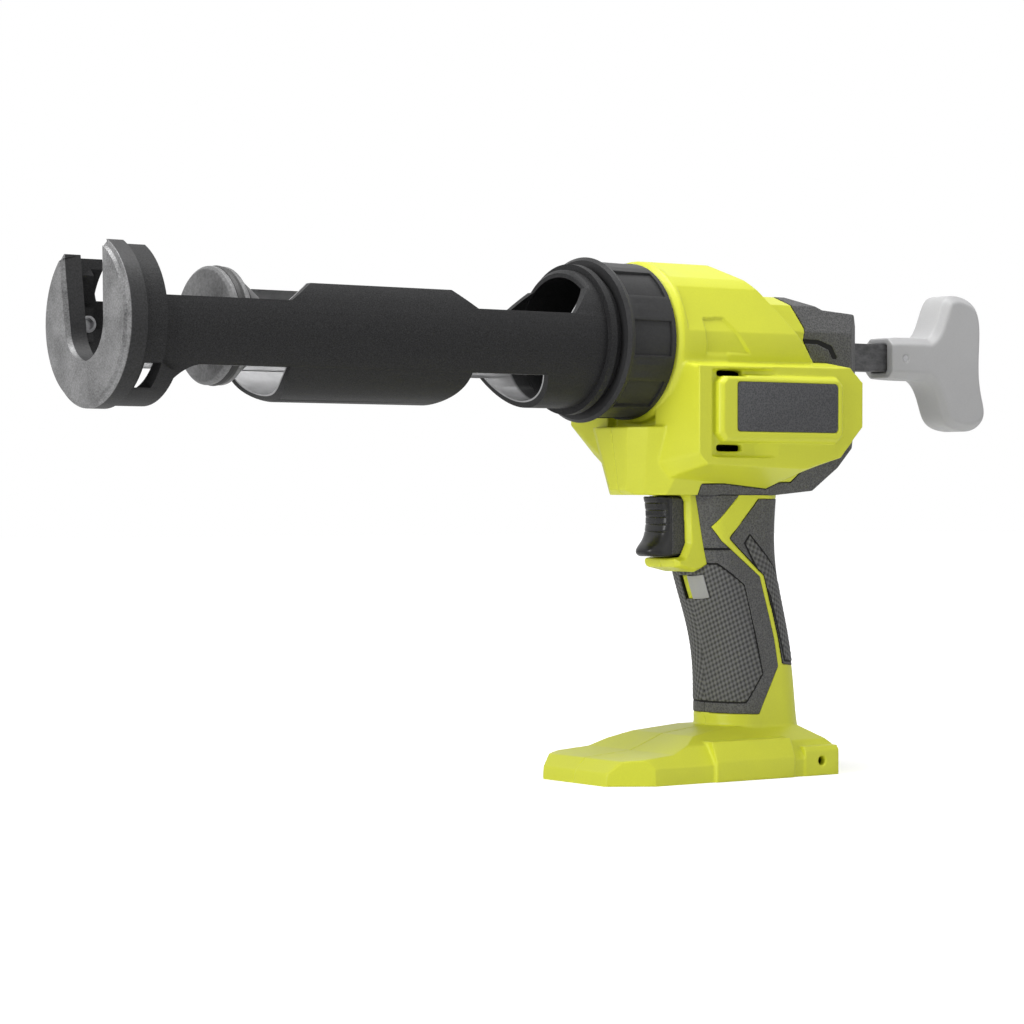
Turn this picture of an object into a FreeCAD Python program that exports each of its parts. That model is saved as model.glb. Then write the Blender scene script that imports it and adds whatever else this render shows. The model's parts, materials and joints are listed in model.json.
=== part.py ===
import FreeCAD, Part
import math
import os
import re
from types import SimpleNamespace

import Sketcher

# Cordless caulking tool. X points along the barrel to the nozzle, Y to the left, Z up.
# The origin is the middle of the foot's underside. All lengths are millimetres.

sizes = {
    # Fits
    "run_clearance": 0.3,
    "pin_clearance": 0.05,
    "seat_clearance": 0.02,
    "cut_overrun": 5.0,
    "wall": 2.8,
    "cover_thickness": 1.6,
    # Barrel line and rod
    "barrel_height": 183.0,
    "rod_drop": 3.0,
    "rod_width": 10.0,
    "rod_height": 12.0,
    "rod_rear": -128.0,
    "rack_front": 192.0,
    "rack_rear": -36.0,
    "rack_module": 1.5,
    "gear_backlash": 0.2,
    # Piston
    "piston_front": 236.0,
    "piston_radius": 22.6,
    "piston_thickness": 9.0,
    "piston_bevel": 1.2,
    "piston_cone_length": 11.0,
    "piston_cone_radius": 13.0,
    "piston_cone_step": 2.0,
    "seal_width": 3.0,
    "seal_depth": 2.2,
    "seal_proud": 0.3,
    "piston_screw_radius": 2.5,
    "piston_screw_head_radius": 4.5,
    "piston_screw_head": 2.4,
    "piston_screw_length": 16.0,
    # Pull handle
    "handle_boss_front": -110.0,
    "handle_boss_radius": 9.0,
    "handle_boss_length": 26.0,
    "handle_bar_middle": -155.0,
    "handle_bar_depth": 22.0,
    "handle_bar_width": 19.0,
    "handle_bar_height": 61.0,
    "handle_pin_radius": 1.5,
    "handle_pin_set_back": 8.0,
    # Carriage
    "plate_front": 287.0,
    "plate_radius": 32.4,
    "plate_thickness": 9.0,
    "plate_bevel": 3.0,
    "slot_half_width": 15.0,
    "slot_mouth_half_width": 17.2,
    "slot_turn": 6.0,
    "cup_radius": 31.2,
    "cup_wall": 3.4,
    "cup_depth": 16.0,
    "cup_side_depth": 9.0,
    "cup_window_height": 9.0,
    "cup_window_length": 7.0,
    "arm_radius": 28.5,
    "arm_wall": 2.8,
    "arm_top": 9.1,
    "arm_bottom": -15.9,
    "crown_top": 16.2,
    "crown_front": 203.0,
    "crown_rear": 138.0,
    "crown_slope": 10.5,
    "belly_front": 212.0,
    "belly_rear": 128.0,
    "belly_corner": 12.0,
    "belly_sag": 1.0,
    "ring_front": 69.0,
    "ring_bore": 25.4,
    "ring_step": 64.5,
    "ring_step_width": 3.0,
    "ring_step_radius": 31.0,
    "ring_bevel": 1.4,
    "ring_gusset_top": 20.0,
    "ring_gusset_length": 11.0,
    "spigot_radius": 27.0,
    "spigot_rear": 38.0,
    "thrust_front": 56.0,
    "thrust_width": 3.0,
    "thrust_radius": 29.4,
    "plate_screw_radius": 2.0,
    "plate_screw_head_radius": 3.2,
    "plate_screw_head": 1.8,
    "plate_screw_length": 14.0,
    "lug_half_height": 6.4,
    # Lock collar and nose mount
    "collar_front": 57.6,
    "collar_rear": 32.2,
    "collar_front_radius": 34.2,
    "collar_rear_radius": 32.6,
    "collar_band": 4.0,
    "collar_lip": 1.3,
    "collar_rib_count": 8,
    "collar_rib_height": 0.9,
    "collar_rib_width": 11.0,
    "neck_radius": 29.6,
    "mount_flange_radius": 30.4,
    "mount_flange_rear": 23.0,
    "neck_front": 52.6,
    # Housing body
    "body_rear": -82.0,
    "body_length": 123.0,
    "body_bottom": 119.0,
    "body_height": 85.0,
    "body_width": 50.0,
    "body_shoulder": 6.5,
    "drum_front": 31.5,
    "drum_length": 76.5,
    "drum_radius": 33.8,
    "drum_bevel": 2.6,
    "box_rear": -66.0,
    "box_length": 104.0,
    "box_bottom": 121.0,
    "box_height": 56.0,
    "box_root": 16.0,
    "box_face": 42.0,
    "box_recess": 2.4,
    "box_border": 1.2,
    "badge_block_front": 18.5,
    "badge_block_length": 68.0,
    "badge_block_bottom": 141.0,
    "badge_block_height": 27.5,
    "badge_block_rise": 3.0,
    "badge_block_bevel": 1.6,
    "badge_front": 9.5,
    "badge_length": 55.0,
    "badge_bottom": 145.3,
    "badge_height": 20.5,
    "badge_seat": 1.2,
    "vent_front": 16.5,
    "vent_length": 13.5,
    "vent_height": 2.5,
    "vent_top": 169.2,
    "vent_low": 138.4,
    # Grip and guard
    "grip_rear": -55.0,
    "grip_length": 65.0,
    "grip_bottom": 24.0,
    "grip_height": 99.0,
    "grip_width": 33.0,
    "guard_rear": -14.0,
    "guard_length": 29.0,
    "guard_bottom": 86.5,
    "guard_height": 36.5,
    "guard_width": 24.0,
    "guard_edge": 2.5,
    # Foot
    "foot_rear": -59.5,
    "foot_length": 119.5,
    "foot_width": 65.0,
    "foot_height": 21.0,
    "foot_wall": 3.0,
    "neck_height": 17.0,
    "side_block_rear": -32.0,
    "side_block_length": 43.0,
    "side_block_proud": 1.4,
    "side_block_height": 17.0,
    "hook_boss_rear": -57.0,
    "hook_boss_length": 19.0,
    "hook_boss_height": 12.6,
    "hook_boss_proud": 0.8,
    "hook_hole_radius": 2.0,
    "hook_hole_depth": 7.0,
    # Drive train
    "pinion_x": -2.0,
    "pinion_teeth": 12,
    "pinion_half_width": 6.0,
    "pinion_shaft_radius": 4.0,
    "spur_module": 1.0,
    "driven_teeth": 42,
    "clutch_teeth": 18,
    "spur_left": -13.5,
    "spur_width": 6.0,
    "motor_drop": 17.0,
    "frame_left": 6.6,
    "frame_left_thickness": 2.4,
    "frame_right": -19.9,
    "frame_right_thickness": 2.2,
    "frame_margin": 3.0,
    "pillar_radius": 2.5,
    "bush_wall": 2.0,
    "front_bush_proud": 1.0,
    "sun_teeth": 12,
    "planet_teeth": 15,
    "ring_teeth": 42,
    "planet_module": 0.6,
    "planet_backlash": 0.14,
    "planet_width": 7.0,
    "planet_left": -1.2,
    "planet_pin_radius": 1.5,
    "carrier_thickness": 3.0,
    "carrier_radius": 11.4,
    "carrier_gap": 0.4,
    "clutch_gap": 0.5,
    "dog_height": 0.7,
    "dog_width": 3.0,
    "pilot_radius": 1.6,
    "pilot_length": 3.0,
    "clutch_shaft_radius": 3.0,
    "gear_case_radius": 18.6,
    "motor_radius": 16.0,
    "motor_front": 0.6,
    "motor_rear": 35.6,
    "motor_wall": 1.2,
    "motor_cap": 2.6,
    "rotor_radius": 12.0,
    "rotor_shaft_radius": 1.6,
    "rotor_front": 5.0,
    "rotor_rear": 30.0,
    # Bushes of the rod
    "rear_bush_wall": 3.0,
    "rear_bush_length": 9.0,
    "rear_bush_proud": 1.5,
    # Screws of the housing
    "screw_radius": 1.8,
    "screw_head_radius": 3.3,
    "screw_head": 2.4,
    "screw_reach": 9.0,
    "boss_radius": 4.6,
    # Trigger and switch
    "trigger_rear": 1.5,
    "trigger_length": 23.5,
    "trigger_bottom": 93.0,
    "trigger_height": 25.6,
    "trigger_width": 16.0,
    "trigger_edge": 2.2,
    "trigger_pad_depth": 8.5,
    "trigger_pad_groove": 0.7,
    "trigger_travel": 6.0,
    "switch_front": -8.0,
    "switch_length": 22.0,
    "switch_bottom": 95.5,
    "switch_height": 20.0,
    "switch_width": 26.6,
    "plunger_radius": 2.4,
    "spring_radius": 4.2,
    "spring_wire": 0.7,
    # Lock button
    "button_left": 10.0,
    "button_width": 9.0,
    "button_middle": 79.8,
    "button_height": 10.4,
    "button_travel": 4.0,
    "button_recess": 2.7,
    "button_deck": 2.2,
    "button_stem_width": 3.0,
    "button_stem_height": 5.0,
    "button_foot": 1.6,
    "button_foot_margin": 1.5,
    # Battery terminals and board
    "terminal_x": -28.0,
    "terminal_bottom": 60.0,
    "terminal_height": 9.0,
    "terminal_length": 16.0,
    "terminal_width": 26.4,
    "blade_length": 7.0,
    "blade_thickness": 0.8,
    "blade_drop": 12.0,
    "blade_spacing": 8.0,
    "board_x": -21.0,
    "board_height": 88.5,
    "board_length": 20.0,
    "board_width": 26.8,
    "board_thickness": 1.6,
}

doc = FreeCAD.newDocument("CaulkingTool")
sheet = doc.addObject("Spreadsheet::Sheet", "Sizes")
for row, (alias, value) in enumerate(sizes.items(), start=1):
    sheet.set(f"A{row}", alias)
    sheet.set(f"B{row}", str(value))
    sheet.setAlias(f"B{row}", alias)
doc.recompute()
dim = SimpleNamespace(**{alias: float(sheet.get(alias)) for alias in sizes})
pieces = []

X_AXIS = FreeCAD.Vector(1, 0, 0)
Y_AXIS = FreeCAD.Vector(0, 1, 0)


# Helpers for bodies drawn in sketches

def bound(expression):
    """The expression with every size name pointed at the sheet."""
    return re.sub(r"[a-z][a-z_]*", lambda word: "Sizes." + word.group(0), expression)


def number(expression):
    return float(sheet.evalExpression(expression))


def new_body(label):
    body = doc.addObject("PartDesign::Body", label)
    body.Label = label
    pieces.append(body)
    return body


def closed_sketch(body, role, points):
    """A closed outline whose corners are tied to the sheet."""
    sketch = body.newObject("Sketcher::SketchObject", body.Name + "_sketch")
    plane = next(item for item in body.Origin.OriginFeatures if item.Role == role)
    sketch.AttachmentSupport = [(plane, "")]
    sketch.MapMode = "FlatFace"
    places = [FreeCAD.Vector(number(across), number(up), 0) for across, up in points]
    count = len(places)
    for index in range(count):
        sketch.addGeometry(Part.LineSegment(places[index], places[(index + 1) % count]))
    for index in range(count):
        sketch.addConstraint(Sketcher.Constraint("Coincident", index, 2, (index + 1) % count, 1))
    for index, (across, up) in enumerate(points):
        ties = (("DistanceX", across, places[index].x), ("DistanceY", up, places[index].y))
        for kind, expression, value in ties:
            tie = sketch.addConstraint(Sketcher.Constraint(kind, -1, 1, index, 1, value))
            sketch.setExpression(f"Constraints[{tie}]", bound(expression))
    return sketch


def place(body, x_place="0", y_place="0", z_place="0"):
    for letter, expression in (("x", x_place), ("y", y_place), ("z", z_place)):
        if expression != "0":
            body.setExpression(f"Placement.Base.{letter}", bound(expression))


def turned(label, role, axis, profile, **where):
    """A body turned about one axis of its sketch."""
    body = new_body(label)
    sketch = closed_sketch(body, role, profile)
    feature = body.newObject("PartDesign::Revolution", body.Name + "_turn")
    feature.Profile = sketch
    feature.ReferenceAxis = (sketch, [axis])
    feature.Angle = 360
    place(body, **where)
    return body


def turned_along_barrel(label, profile, height="barrel_height"):
    return turned(label, "XZ_Plane", "H_Axis", profile, z_place=height)


def turned_across(label, profile, x_place, z_place):
    return turned(label, "XY_Plane", "V_Axis", profile, x_place=x_place, z_place=z_place)


def padded(label, role, outline, length, **where):
    """A body padded evenly to both sides of its sketch."""
    body = new_body(label)
    feature = body.newObject("PartDesign::Pad", body.Name + "_pad")
    feature.Profile = closed_sketch(body, role, outline)
    feature.SideType = "Symmetric"
    feature.setExpression("Length", bound(length))
    place(body, **where)
    return body


def pocket_through(body, role, outline):
    doc.recompute()
    before = body.Shape.Volume
    feature = body.newObject("PartDesign::Pocket", body.Name + "_pocket")
    feature.Profile = closed_sketch(body, role, outline)
    feature.SideType = "Symmetric"
    feature.Type = "ThroughAll"
    doc.recompute()
    if not body.Shape.Volume < before:
        raise RuntimeError(f"The pocket in {body.Label} cuts nothing")


def rectangle(x_low, x_high, y_low, y_high):
    return [(x_low, y_low), (x_high, y_low), (x_high, y_high), (x_low, y_high)]


# Helpers for solids shaped in code

def piece(label, shape):
    feature = doc.addObject("Part::Feature", label)
    feature.Label = label
    feature.Shape = shape
    pieces.append(feature)
    return feature


def polygon(points):
    return Part.makePolygon(points + points[:1])


def prism_y(outline, low, high):
    """A side view outline, in X and Z, drawn out along Y."""
    face = Part.Face(polygon([FreeCAD.Vector(x, low, z) for x, z in outline]))
    return face.extrude(FreeCAD.Vector(0, high - low, 0))


def prism_z(outline, low, high):
    """A plan outline, in X and Y, drawn out along Z."""
    face = Part.Face(polygon([FreeCAD.Vector(x, y, low) for x, y in outline]))
    return face.extrude(FreeCAD.Vector(0, 0, high - low))


def prism_x(outline, low, high):
    """A front view outline, in Y and Z, drawn out along X."""
    face = Part.Face(polygon([FreeCAD.Vector(low, y, z) for y, z in outline]))
    return face.extrude(FreeCAD.Vector(high - low, 0, 0))


def block(x_low, x_high, y_low, y_high, z_low, z_high):
    corner = FreeCAD.Vector(x_low, y_low, z_low)
    return Part.makeBox(x_high - x_low, y_high - y_low, z_high - z_low, corner)


def round_x(radius, low, high, z=dim.barrel_height, y=0):
    return Part.makeCylinder(radius, high - low, FreeCAD.Vector(low, y, z), X_AXIS)


def round_y(radius, low, high, x, z):
    return Part.makeCylinder(radius, high - low, FreeCAD.Vector(x, low, z), Y_AXIS)


def turned_solid(profile, height=dim.barrel_height):
    """A solid turned about the barrel line from a profile of X and radius."""
    face = Part.Face(polygon([FreeCAD.Vector(x, 0, height + radius) for x, radius in profile]))
    return face.revolve(FreeCAD.Vector(0, 0, height), X_AXIS, 360)


def from_shares(shares, start, length, base, height):
    return [(start + along * length, base + up * height) for along, up in shares]


def both_sides(half):
    """A half outline and its mirror image, as one loop about the first axis."""
    return half + [(along, -across) for along, across in reversed(half)]


def inset_outline(outline, distance):
    """The outline moved inwards by the same distance on every side."""
    edges = list(zip(outline, outline[1:] + outline[:1]))
    turn = math.copysign(1, sum(a[0] * b[1] - b[0] * a[1] for a, b in edges))
    lines = []
    for (x1, y1), (x2, y2) in edges:
        run = math.hypot(x2 - x1, y2 - y1) * turn
        lines.append((x1 - (y2 - y1) / run * distance, y1 + (x2 - x1) / run * distance, x2 - x1, y2 - y1))
    corners = []
    for (x1, y1, u1, v1), (x2, y2, u2, v2) in zip(lines[-1:] + lines[:-1], lines):
        reach = ((x2 - x1) * v2 - (y2 - y1) * u2) / (u1 * v2 - v1 * u2)
        corners.append((x1 + u1 * reach, y1 + v1 * reach))
    return corners


def fused(shapes):
    return shapes[0].multiFuse(shapes[1:]).removeSplitter()


# Driving places worked out from the sizes

rod_height_above = dim.barrel_height - dim.rod_drop
rod_underside = rod_height_above - dim.rod_height / 2
pinion_radius = dim.rack_module * dim.pinion_teeth / 2
pinion_z = rod_underside + dim.rack_module - pinion_radius
spur_distance = dim.spur_module * (dim.driven_teeth + dim.clutch_teeth) / 2
motor_x = dim.pinion_x - math.sqrt(spur_distance ** 2 - dim.motor_drop ** 2)
motor_z = pinion_z - dim.motor_drop
plate_back = dim.plate_front - dim.plate_thickness
barrel = dim.barrel_height
over = dim.cut_overrun
run = dim.run_clearance
far = dim.barrel_height + dim.body_length

pinion_z_name = ("(barrel_height - rod_drop - rod_height / 2 + rack_module"
                 " - rack_module * pinion_teeth / 2)")
motor_x_name = ("(pinion_x - ((spur_module * (driven_teeth + clutch_teeth) / 2) ^ 2"
                " - motor_drop ^ 2) ^ 0.5)")
motor_z_name = f"({pinion_z_name} - motor_drop)"

# Housing envelope: every part of it can be drawn smaller by an inset

bow_top_share = 0.335
body_side_shares = [(1, bow_top_share), (0.968, 0.024), (0.944, 0), (0.398, 0), (0.22, 0.024), (0.138, 0.141),
                    (0.024, 0.33), (0, 0.376), (0, 0.87), (0.03, 0.918), (0.195, 0.935), (0.293, 1)]
body_plan_shares = [(0, 0.6), (0.09, 1), (0.83, 1), (0.9, 0.94), (0.96, 0.76), (1, 0.44)]
bow_plan_shares = [(0, 0.6), (0.09, 1), (0.7, 1), (0.84, 0.78), (0.93, 0.46), (0.97, 0.16)]
body_front_shares = [(0.4, 1), (0.8, 0.953), (1, 0.82), (1, 0.365), (0.92, 0.14), (0.68, 0)]
drum_side_shares = [(1, -1.2), (1, 1.2), (0.484, 1.2), (0.484, 1), (0, -0.326), (0, -1.2)]
box_root_shares = [(0.925, 1), (0.925, 0.2), (0.88, 0.077), (0.365, 0), (0.154, 0.16), (0, 0.536),
                   (0, 0.84), (0.077, 1)]
box_face_shares = [(0.9, 0.911), (0.9, 0.27), (0.855, 0.19), (0.346, 0.161), (0.154, 0.25),
                   (0.038, 0.482), (0.038, 0.821), (0.106, 0.929)]
right_face_shares = [(0.925, 0.911), (0.925, 0.5), (0.8, 0.27), (0.346, 0.161), (0.154, 0.25),
                     (0.038, 0.482), (0.038, 0.821), (0.106, 0.929)]
recess_plan_shares = [(0.835, 1.2), (0.835, 0), (0.6, 0), (0.47, 1.2)]
recess_height_shares = (0.245, 0.9)
grip_section_shares = [(1, 1, 0.178, 1.03), (0.808, 0.938, 0.197, 1), (0.626, 0.869, 0.177, 1),
                       (0.485, 0.792, 0.131, 1.03), (0.313, 0.715, 0.069, 1.05),
                       (0.141, 0.692, 0.026, 1.02), (0, 0.692, 0, 1)]
grip_corner_share = 0.43
edge_share = 0.5
neck_section_shares = [(0, 0.8, -0.12, 1.3), (0.45, 0.715, -0.04, 1.08), (1, 0.692, 0, 1)]
guard_shares = [(0.95, 1), (0.79, 0.82), (0.76, 0.34), (0.86, 0.18), (1, 0.16), (0.97, 0.06), (0.62, 0),
                (0.25, 0.12), (0, 0.5), (0, 1)]
foot_side_shares = [(1, 0), (0.995, 0.25), (0.95, 0.49), (0.75, 0.58), (0.607, 0.88), (0.43, 1),
                    (0.1, 1), (0.02, 0.62), (0, 0)]
foot_plan_shares = [(0, 0.9), (0.03, 1), (0.855, 1), (1, 0.66)]
foot_front_shares = [(0.45, 1.02), (0.84, 0.72), (1, 0.34), (1, -0.02)]


def on_grip(shares):
    return from_shares(shares, dim.grip_rear, dim.grip_length, dim.grip_bottom, dim.grip_height)


def on_body(shares):
    return from_shares(shares, dim.body_rear, dim.body_length, dim.body_bottom, dim.body_height)


def on_box(shares):
    return from_shares(shares, dim.box_rear, dim.box_length, dim.box_bottom, dim.box_height)


def two_views(side, front, inset):
    """The solid that keeps inside its side and front view outlines."""
    solid = prism_y(inset_outline(side, inset), -far, far)
    return solid.common(prism_x(inset_outline(front, inset), -far, far))


def bow(inset):
    """The space inside the body's plan, which draws in towards the bottom of its front."""
    top = dim.body_bottom + bow_top_share * dim.body_height
    plans = []
    for shares in (bow_plan_shares, body_plan_shares):
        outline = from_shares(shares, dim.body_rear, dim.body_length, 0, dim.body_width / 2)
        plans.append(inset_outline(both_sides(outline), inset))
    loops = [polygon([FreeCAD.Vector(x, y, z) for x, y in plan])
             for plan, z in zip(plans, (dim.body_bottom, top))]
    return Part.makeLoft(loops, True, True).fuse(prism_z(plans[1], top, far))


def body_block(inset):
    side = on_body(body_side_shares)
    shoulder = dim.drum_front - dim.body_shoulder
    side += [(shoulder, dim.body_bottom + dim.body_height), (shoulder, side[0][1])]
    front = from_shares(body_front_shares, 0, dim.body_width / 2, dim.body_bottom, dim.body_height)
    front = front + [(-across, up) for across, up in reversed(front)]
    return two_views(side, front, inset).common(bow(inset))


def drum(inset):
    rear = dim.drum_front - dim.drum_length
    radius = dim.drum_radius - inset
    front = dim.drum_front - inset
    profile = [(rear, 0), (rear, radius), (front, radius), (front, 0)]
    if not inset:
        profile[2:3] = [(front - dim.drum_bevel, radius), (front, radius - dim.drum_bevel)]
    solid = turned_solid(profile)
    side = from_shares(drum_side_shares, rear, dim.drum_length, barrel, dim.drum_radius)
    return solid.common(prism_y(inset_outline(side, inset), -far, far))


def side_box(face_shares, inset):
    """A side box on the left, drawn out from the body and narrowing to its face."""
    floor = dim.box_recess if inset else 0
    ends = ((box_root_shares, dim.box_root + inset), (face_shares, dim.box_face - inset - floor))
    loops = []
    for shares, reach in ends:
        outline = inset_outline(on_box(shares), inset)
        loops.append(polygon([FreeCAD.Vector(x, reach, z) for x, z in outline]))
    return Part.makeLoft(loops, True, True)


def rounded_section(front, rear, half_width, corner, z):
    """A level section with four round corners."""
    across = half_width - corner
    slant = corner * math.cos(math.pi / 4)
    middle_front = front - corner
    middle_rear = rear + corner
    at = lambda x, y: FreeCAD.Vector(x, y, z)
    edges = [
        Part.LineSegment(at(front, -across), at(front, across)),
        Part.Arc(at(front, across), at(middle_front + slant, across + slant), at(middle_front, half_width)),
        Part.LineSegment(at(middle_front, half_width), at(middle_rear, half_width)),
        Part.Arc(at(middle_rear, half_width), at(middle_rear - slant, across + slant), at(rear, across)),
        Part.LineSegment(at(rear, across), at(rear, -across)),
        Part.Arc(at(rear, -across), at(middle_rear - slant, -across - slant), at(middle_rear, -half_width)),
        Part.LineSegment(at(middle_rear, -half_width), at(middle_front, -half_width)),
        Part.Arc(at(middle_front, -half_width), at(middle_front + slant, -across - slant),
                 at(front, -across)),
    ]
    return Part.Wire([edge.toShape() for edge in edges])


def grip_sections(shares, base, height, inset):
    sections = []
    for up, front, rear, width in shares:
        sections.append(rounded_section(
            dim.grip_rear + front * dim.grip_length - inset,
            dim.grip_rear + rear * dim.grip_length + inset,
            width * dim.grip_width / 2 - inset,
            width * dim.grip_width * grip_corner_share - inset,
            base + up * height))
    return sections


def grip(inset):
    sections = grip_sections(grip_section_shares, dim.grip_bottom, dim.grip_height, inset)
    return Part.makeLoft(sections, True, False)


def neck(inset):
    base = dim.grip_bottom - dim.neck_height
    sections = grip_sections(neck_section_shares, base, dim.neck_height, inset)
    return Part.makeLoft(sections, True, False)


def soft_sided(outline, half, edge):
    """A side view outline drawn out across the middle, with its side edges bevelled."""
    bevel = edge_share * edge
    loops = []
    for reach, shrink in ((-half, bevel), (edge - half, 0), (half - edge, 0), (half, bevel)):
        ring = inset_outline(outline, shrink)
        loops.append(polygon([FreeCAD.Vector(x, reach, z) for x, z in ring]))
    return Part.makeLoft(loops, True, True)


def guard():
    """The block behind the trigger, with its side edges bevelled."""
    outline = from_shares(guard_shares, dim.guard_rear, dim.guard_length, dim.guard_bottom,
                          dim.guard_height)
    return soft_sided(outline, dim.guard_width / 2, dim.guard_edge)


def foot(inset):
    side = from_shares(foot_side_shares, dim.foot_rear, dim.foot_length, 0, dim.foot_height)
    plan = both_sides(from_shares(foot_plan_shares, dim.foot_rear, dim.foot_length, 0, dim.foot_width / 2))
    front = from_shares(foot_front_shares, 0, dim.foot_width / 2, 0, dim.foot_height)
    front = front + [(-across, up) for across, up in reversed(front)]
    solid = two_views(side, front, inset)
    return solid.common(prism_z(inset_outline(plan, inset), -far, far))


def mirrored(shape):
    return shape.mirror(FreeCAD.Vector(0, 0, 0), Y_AXIS)


def hollow():
    """The space inside the housing, one wall in from its outside."""
    boxes = [side_box(box_face_shares, dim.wall), mirrored(side_box(right_face_shares, dim.wall))]
    plan = both_sides(from_shares(foot_plan_shares, dim.foot_rear, dim.foot_length, 0, dim.foot_width / 2))
    mouth = prism_z(inset_outline(plan, dim.foot_wall + dim.wall / 2), -over, dim.foot_wall + dim.wall)
    return fused([body_block(dim.wall), drum(dim.wall), *boxes, grip(dim.wall), neck(dim.wall),
                  foot(dim.wall), mouth])


# Details cut into the housing or standing on it

pad_corner_share = 2


def bevelled_pad(x_low, x_high, z_low, z_high, y_low, y_high, bevel):
    """A left side pad with cut corners and a bevelled rim."""
    loops = []
    for reach, shrink in ((y_low, 0), (y_high - bevel, 0), (y_high, bevel)):
        corner = pad_corner_share * bevel
        outline = [(x_low, z_low + corner), (x_low, z_high - corner), (x_low + corner, z_high),
                   (x_high - corner, z_high), (x_high, z_high - corner), (x_high, z_low + corner),
                   (x_high - corner, z_low), (x_low + corner, z_low)]
        loops.append(polygon([FreeCAD.Vector(x, reach, z) for x, z in inset_outline(outline, shrink)]))
    return Part.makeLoft(loops, True, True)


block_top = dim.box_face + dim.badge_block_rise
recess_floor = dim.box_face - dim.box_recess


def badge_block():
    return bevelled_pad(dim.badge_block_front - dim.badge_block_length, dim.badge_block_front,
                        dim.badge_block_bottom, dim.badge_block_bottom + dim.badge_block_height,
                        recess_floor - dim.wall, block_top, dim.badge_block_bevel)


def box_recess(face_shares):
    """The sunk part of a side box's face, inside the border that stands round it."""
    plan = from_shares(recess_plan_shares, dim.box_rear, dim.box_length, recess_floor, dim.box_recess)
    low, high = (dim.box_bottom + share * dim.box_height for share in recess_height_shares)
    inside = prism_y(inset_outline(on_box(face_shares), dim.box_border), -far, far)
    return prism_z(plan, low, high).common(inside)


def vents():
    rear = dim.vent_front - dim.vent_length
    half = dim.vent_height / 2
    inside = recess_floor - dim.wall - over
    return [block(rear, dim.vent_front, inside, dim.box_face + over, middle - half, middle + half)
            for middle in (dim.vent_top, dim.vent_low)]


def badge(grow):
    """The badge plate, or with a clearance added, the seat cut for it."""
    return block(dim.badge_front - dim.badge_length - grow, dim.badge_front + grow,
                 block_top - dim.badge_seat, block_top + grow * over,
                 dim.badge_bottom - grow, dim.badge_bottom + dim.badge_height + grow)


side_block_shares = [(0.5, 0.98), (0.9, 0.98), (1, 0.5), (1, 0), (0.5, 0)]
hook_boss_shares = [(0.5, 1), (0.96, 1), (1, 0.85), (1, 0), (0.5, 0)]


def foot_pads():
    """The plain block and the hook boss on the left side of the foot."""
    half = dim.foot_width / 2
    plain = from_shares(side_block_shares, 0, half + dim.side_block_proud, 0, dim.side_block_height)
    hook = from_shares(hook_boss_shares, 0, half + dim.hook_boss_proud, 0, dim.hook_boss_height)
    return [prism_x(plain, dim.side_block_rear, dim.side_block_rear + dim.side_block_length),
            prism_x(hook, dim.hook_boss_rear, dim.hook_boss_rear + dim.hook_boss_length)]


hook_hole_x = dim.hook_boss_rear + dim.hook_boss_length / 2
hook_hole_z = dim.hook_boss_height / 2
hook_face = dim.foot_width / 2 + dim.hook_boss_proud

left_details = [badge_block()] + foot_pads()


def side_cuts(face_shares):
    return [box_recess(face_shares).cut(badge_block())] + vents() + [badge(dim.seat_clearance)]


hook_hole = round_y(dim.hook_hole_radius, hook_face - dim.hook_hole_depth, hook_face + over,
                    hook_hole_x, hook_hole_z)

grip_cover_shares = [(0.96, 1.02), (0.915, 0.89), (0.95, 0.737), (1, 0.672), (1.4, 0.646), (1.4, 0.04),
                     (0.438, 0.02), (0.285, 0.222), (0.323, 0.343), (0.438, 0.611), (0.754, 0.763),
                     (0.83, 0.825), (0.615, 0.963), (0.615, 1.02)]
strap_shares = [(0.45, 0.943), (0.69, 0.775), (0.4, 0.615), (0.283, 0.343), (0.245, 0.232),
                (-0.4, 0.19), (-0.4, 0.943)]
rear_cover_shares = [(0.35, 1.08), (0.333, 0.941), (0.304, 0.835), (0.315, 0.776), (0.289, 0.718),
                     (0.289, 0.141), (0.333, 0.066), (0.73, 0.056), (0.73, -0.06), (-0.1, -0.06),
                     (-0.1, 1.08)]


def skin(solid, core, region):
    return solid.cut(core).common(prism_y(region, -far, far))


full_body = body_block(0)
full_grip = grip(0)
full_guard = guard()
left_box = side_box(box_face_shares, 0)
right_box = mirrored(side_box(right_face_shares, 0))
full_foot = foot(0)
full_neck = neck(0)
full_drum = drum(0)

grip_region = on_grip(grip_cover_shares)
strap_region = on_grip(strap_shares)
rear_region = on_body(rear_cover_shares)
thin_grip = grip(dim.cover_thickness)
grip_skin = skin(full_grip, thin_grip, grip_region).cut(full_guard).cut(full_body)
strap_skin = skin(full_grip, thin_grip, strap_region).cut(full_body)
rear_skin = skin(full_body, body_block(dim.cover_thickness), rear_region)
rear_skin = rear_skin.cut(left_box).cut(right_box).cut(full_grip).cut(full_guard).cut(full_drum)

outer = fused([full_body, full_drum, left_box, right_box, full_grip, full_neck, full_guard, full_foot]
              + left_details + [mirrored(detail) for detail in left_details])

# Screw bosses run across the housing, from the split line out to each wall

body_screw_shares = [(0.86, 0.129), (0.268, 0.094), (0.098, 0.482), (0.13, 0.865), (0.707, 1.047)]
grip_screw_shares = [(0.29, 0.737)]
screw_places = on_body(body_screw_shares) + on_grip(grip_screw_shares)
bosses = [round_y(dim.boss_radius, -far, far, x, z).common(outer) for x, z in screw_places]


def screw(grow, head_end):
    """One housing screw at the origin, or with a clearance added, its hole."""
    shank = round_y(dim.screw_radius + grow, -dim.screw_reach, dim.screw_reach + grow, 0, 0)
    head = round_y(dim.screw_head_radius + grow, head_end, -dim.screw_reach, 0, 0)
    return shank.fuse(head).removeSplitter()


def at_screws(shape):
    return [shape.translated(FreeCAD.Vector(x, 0, z)) for x, z in screw_places]


# Openings of the housing

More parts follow.
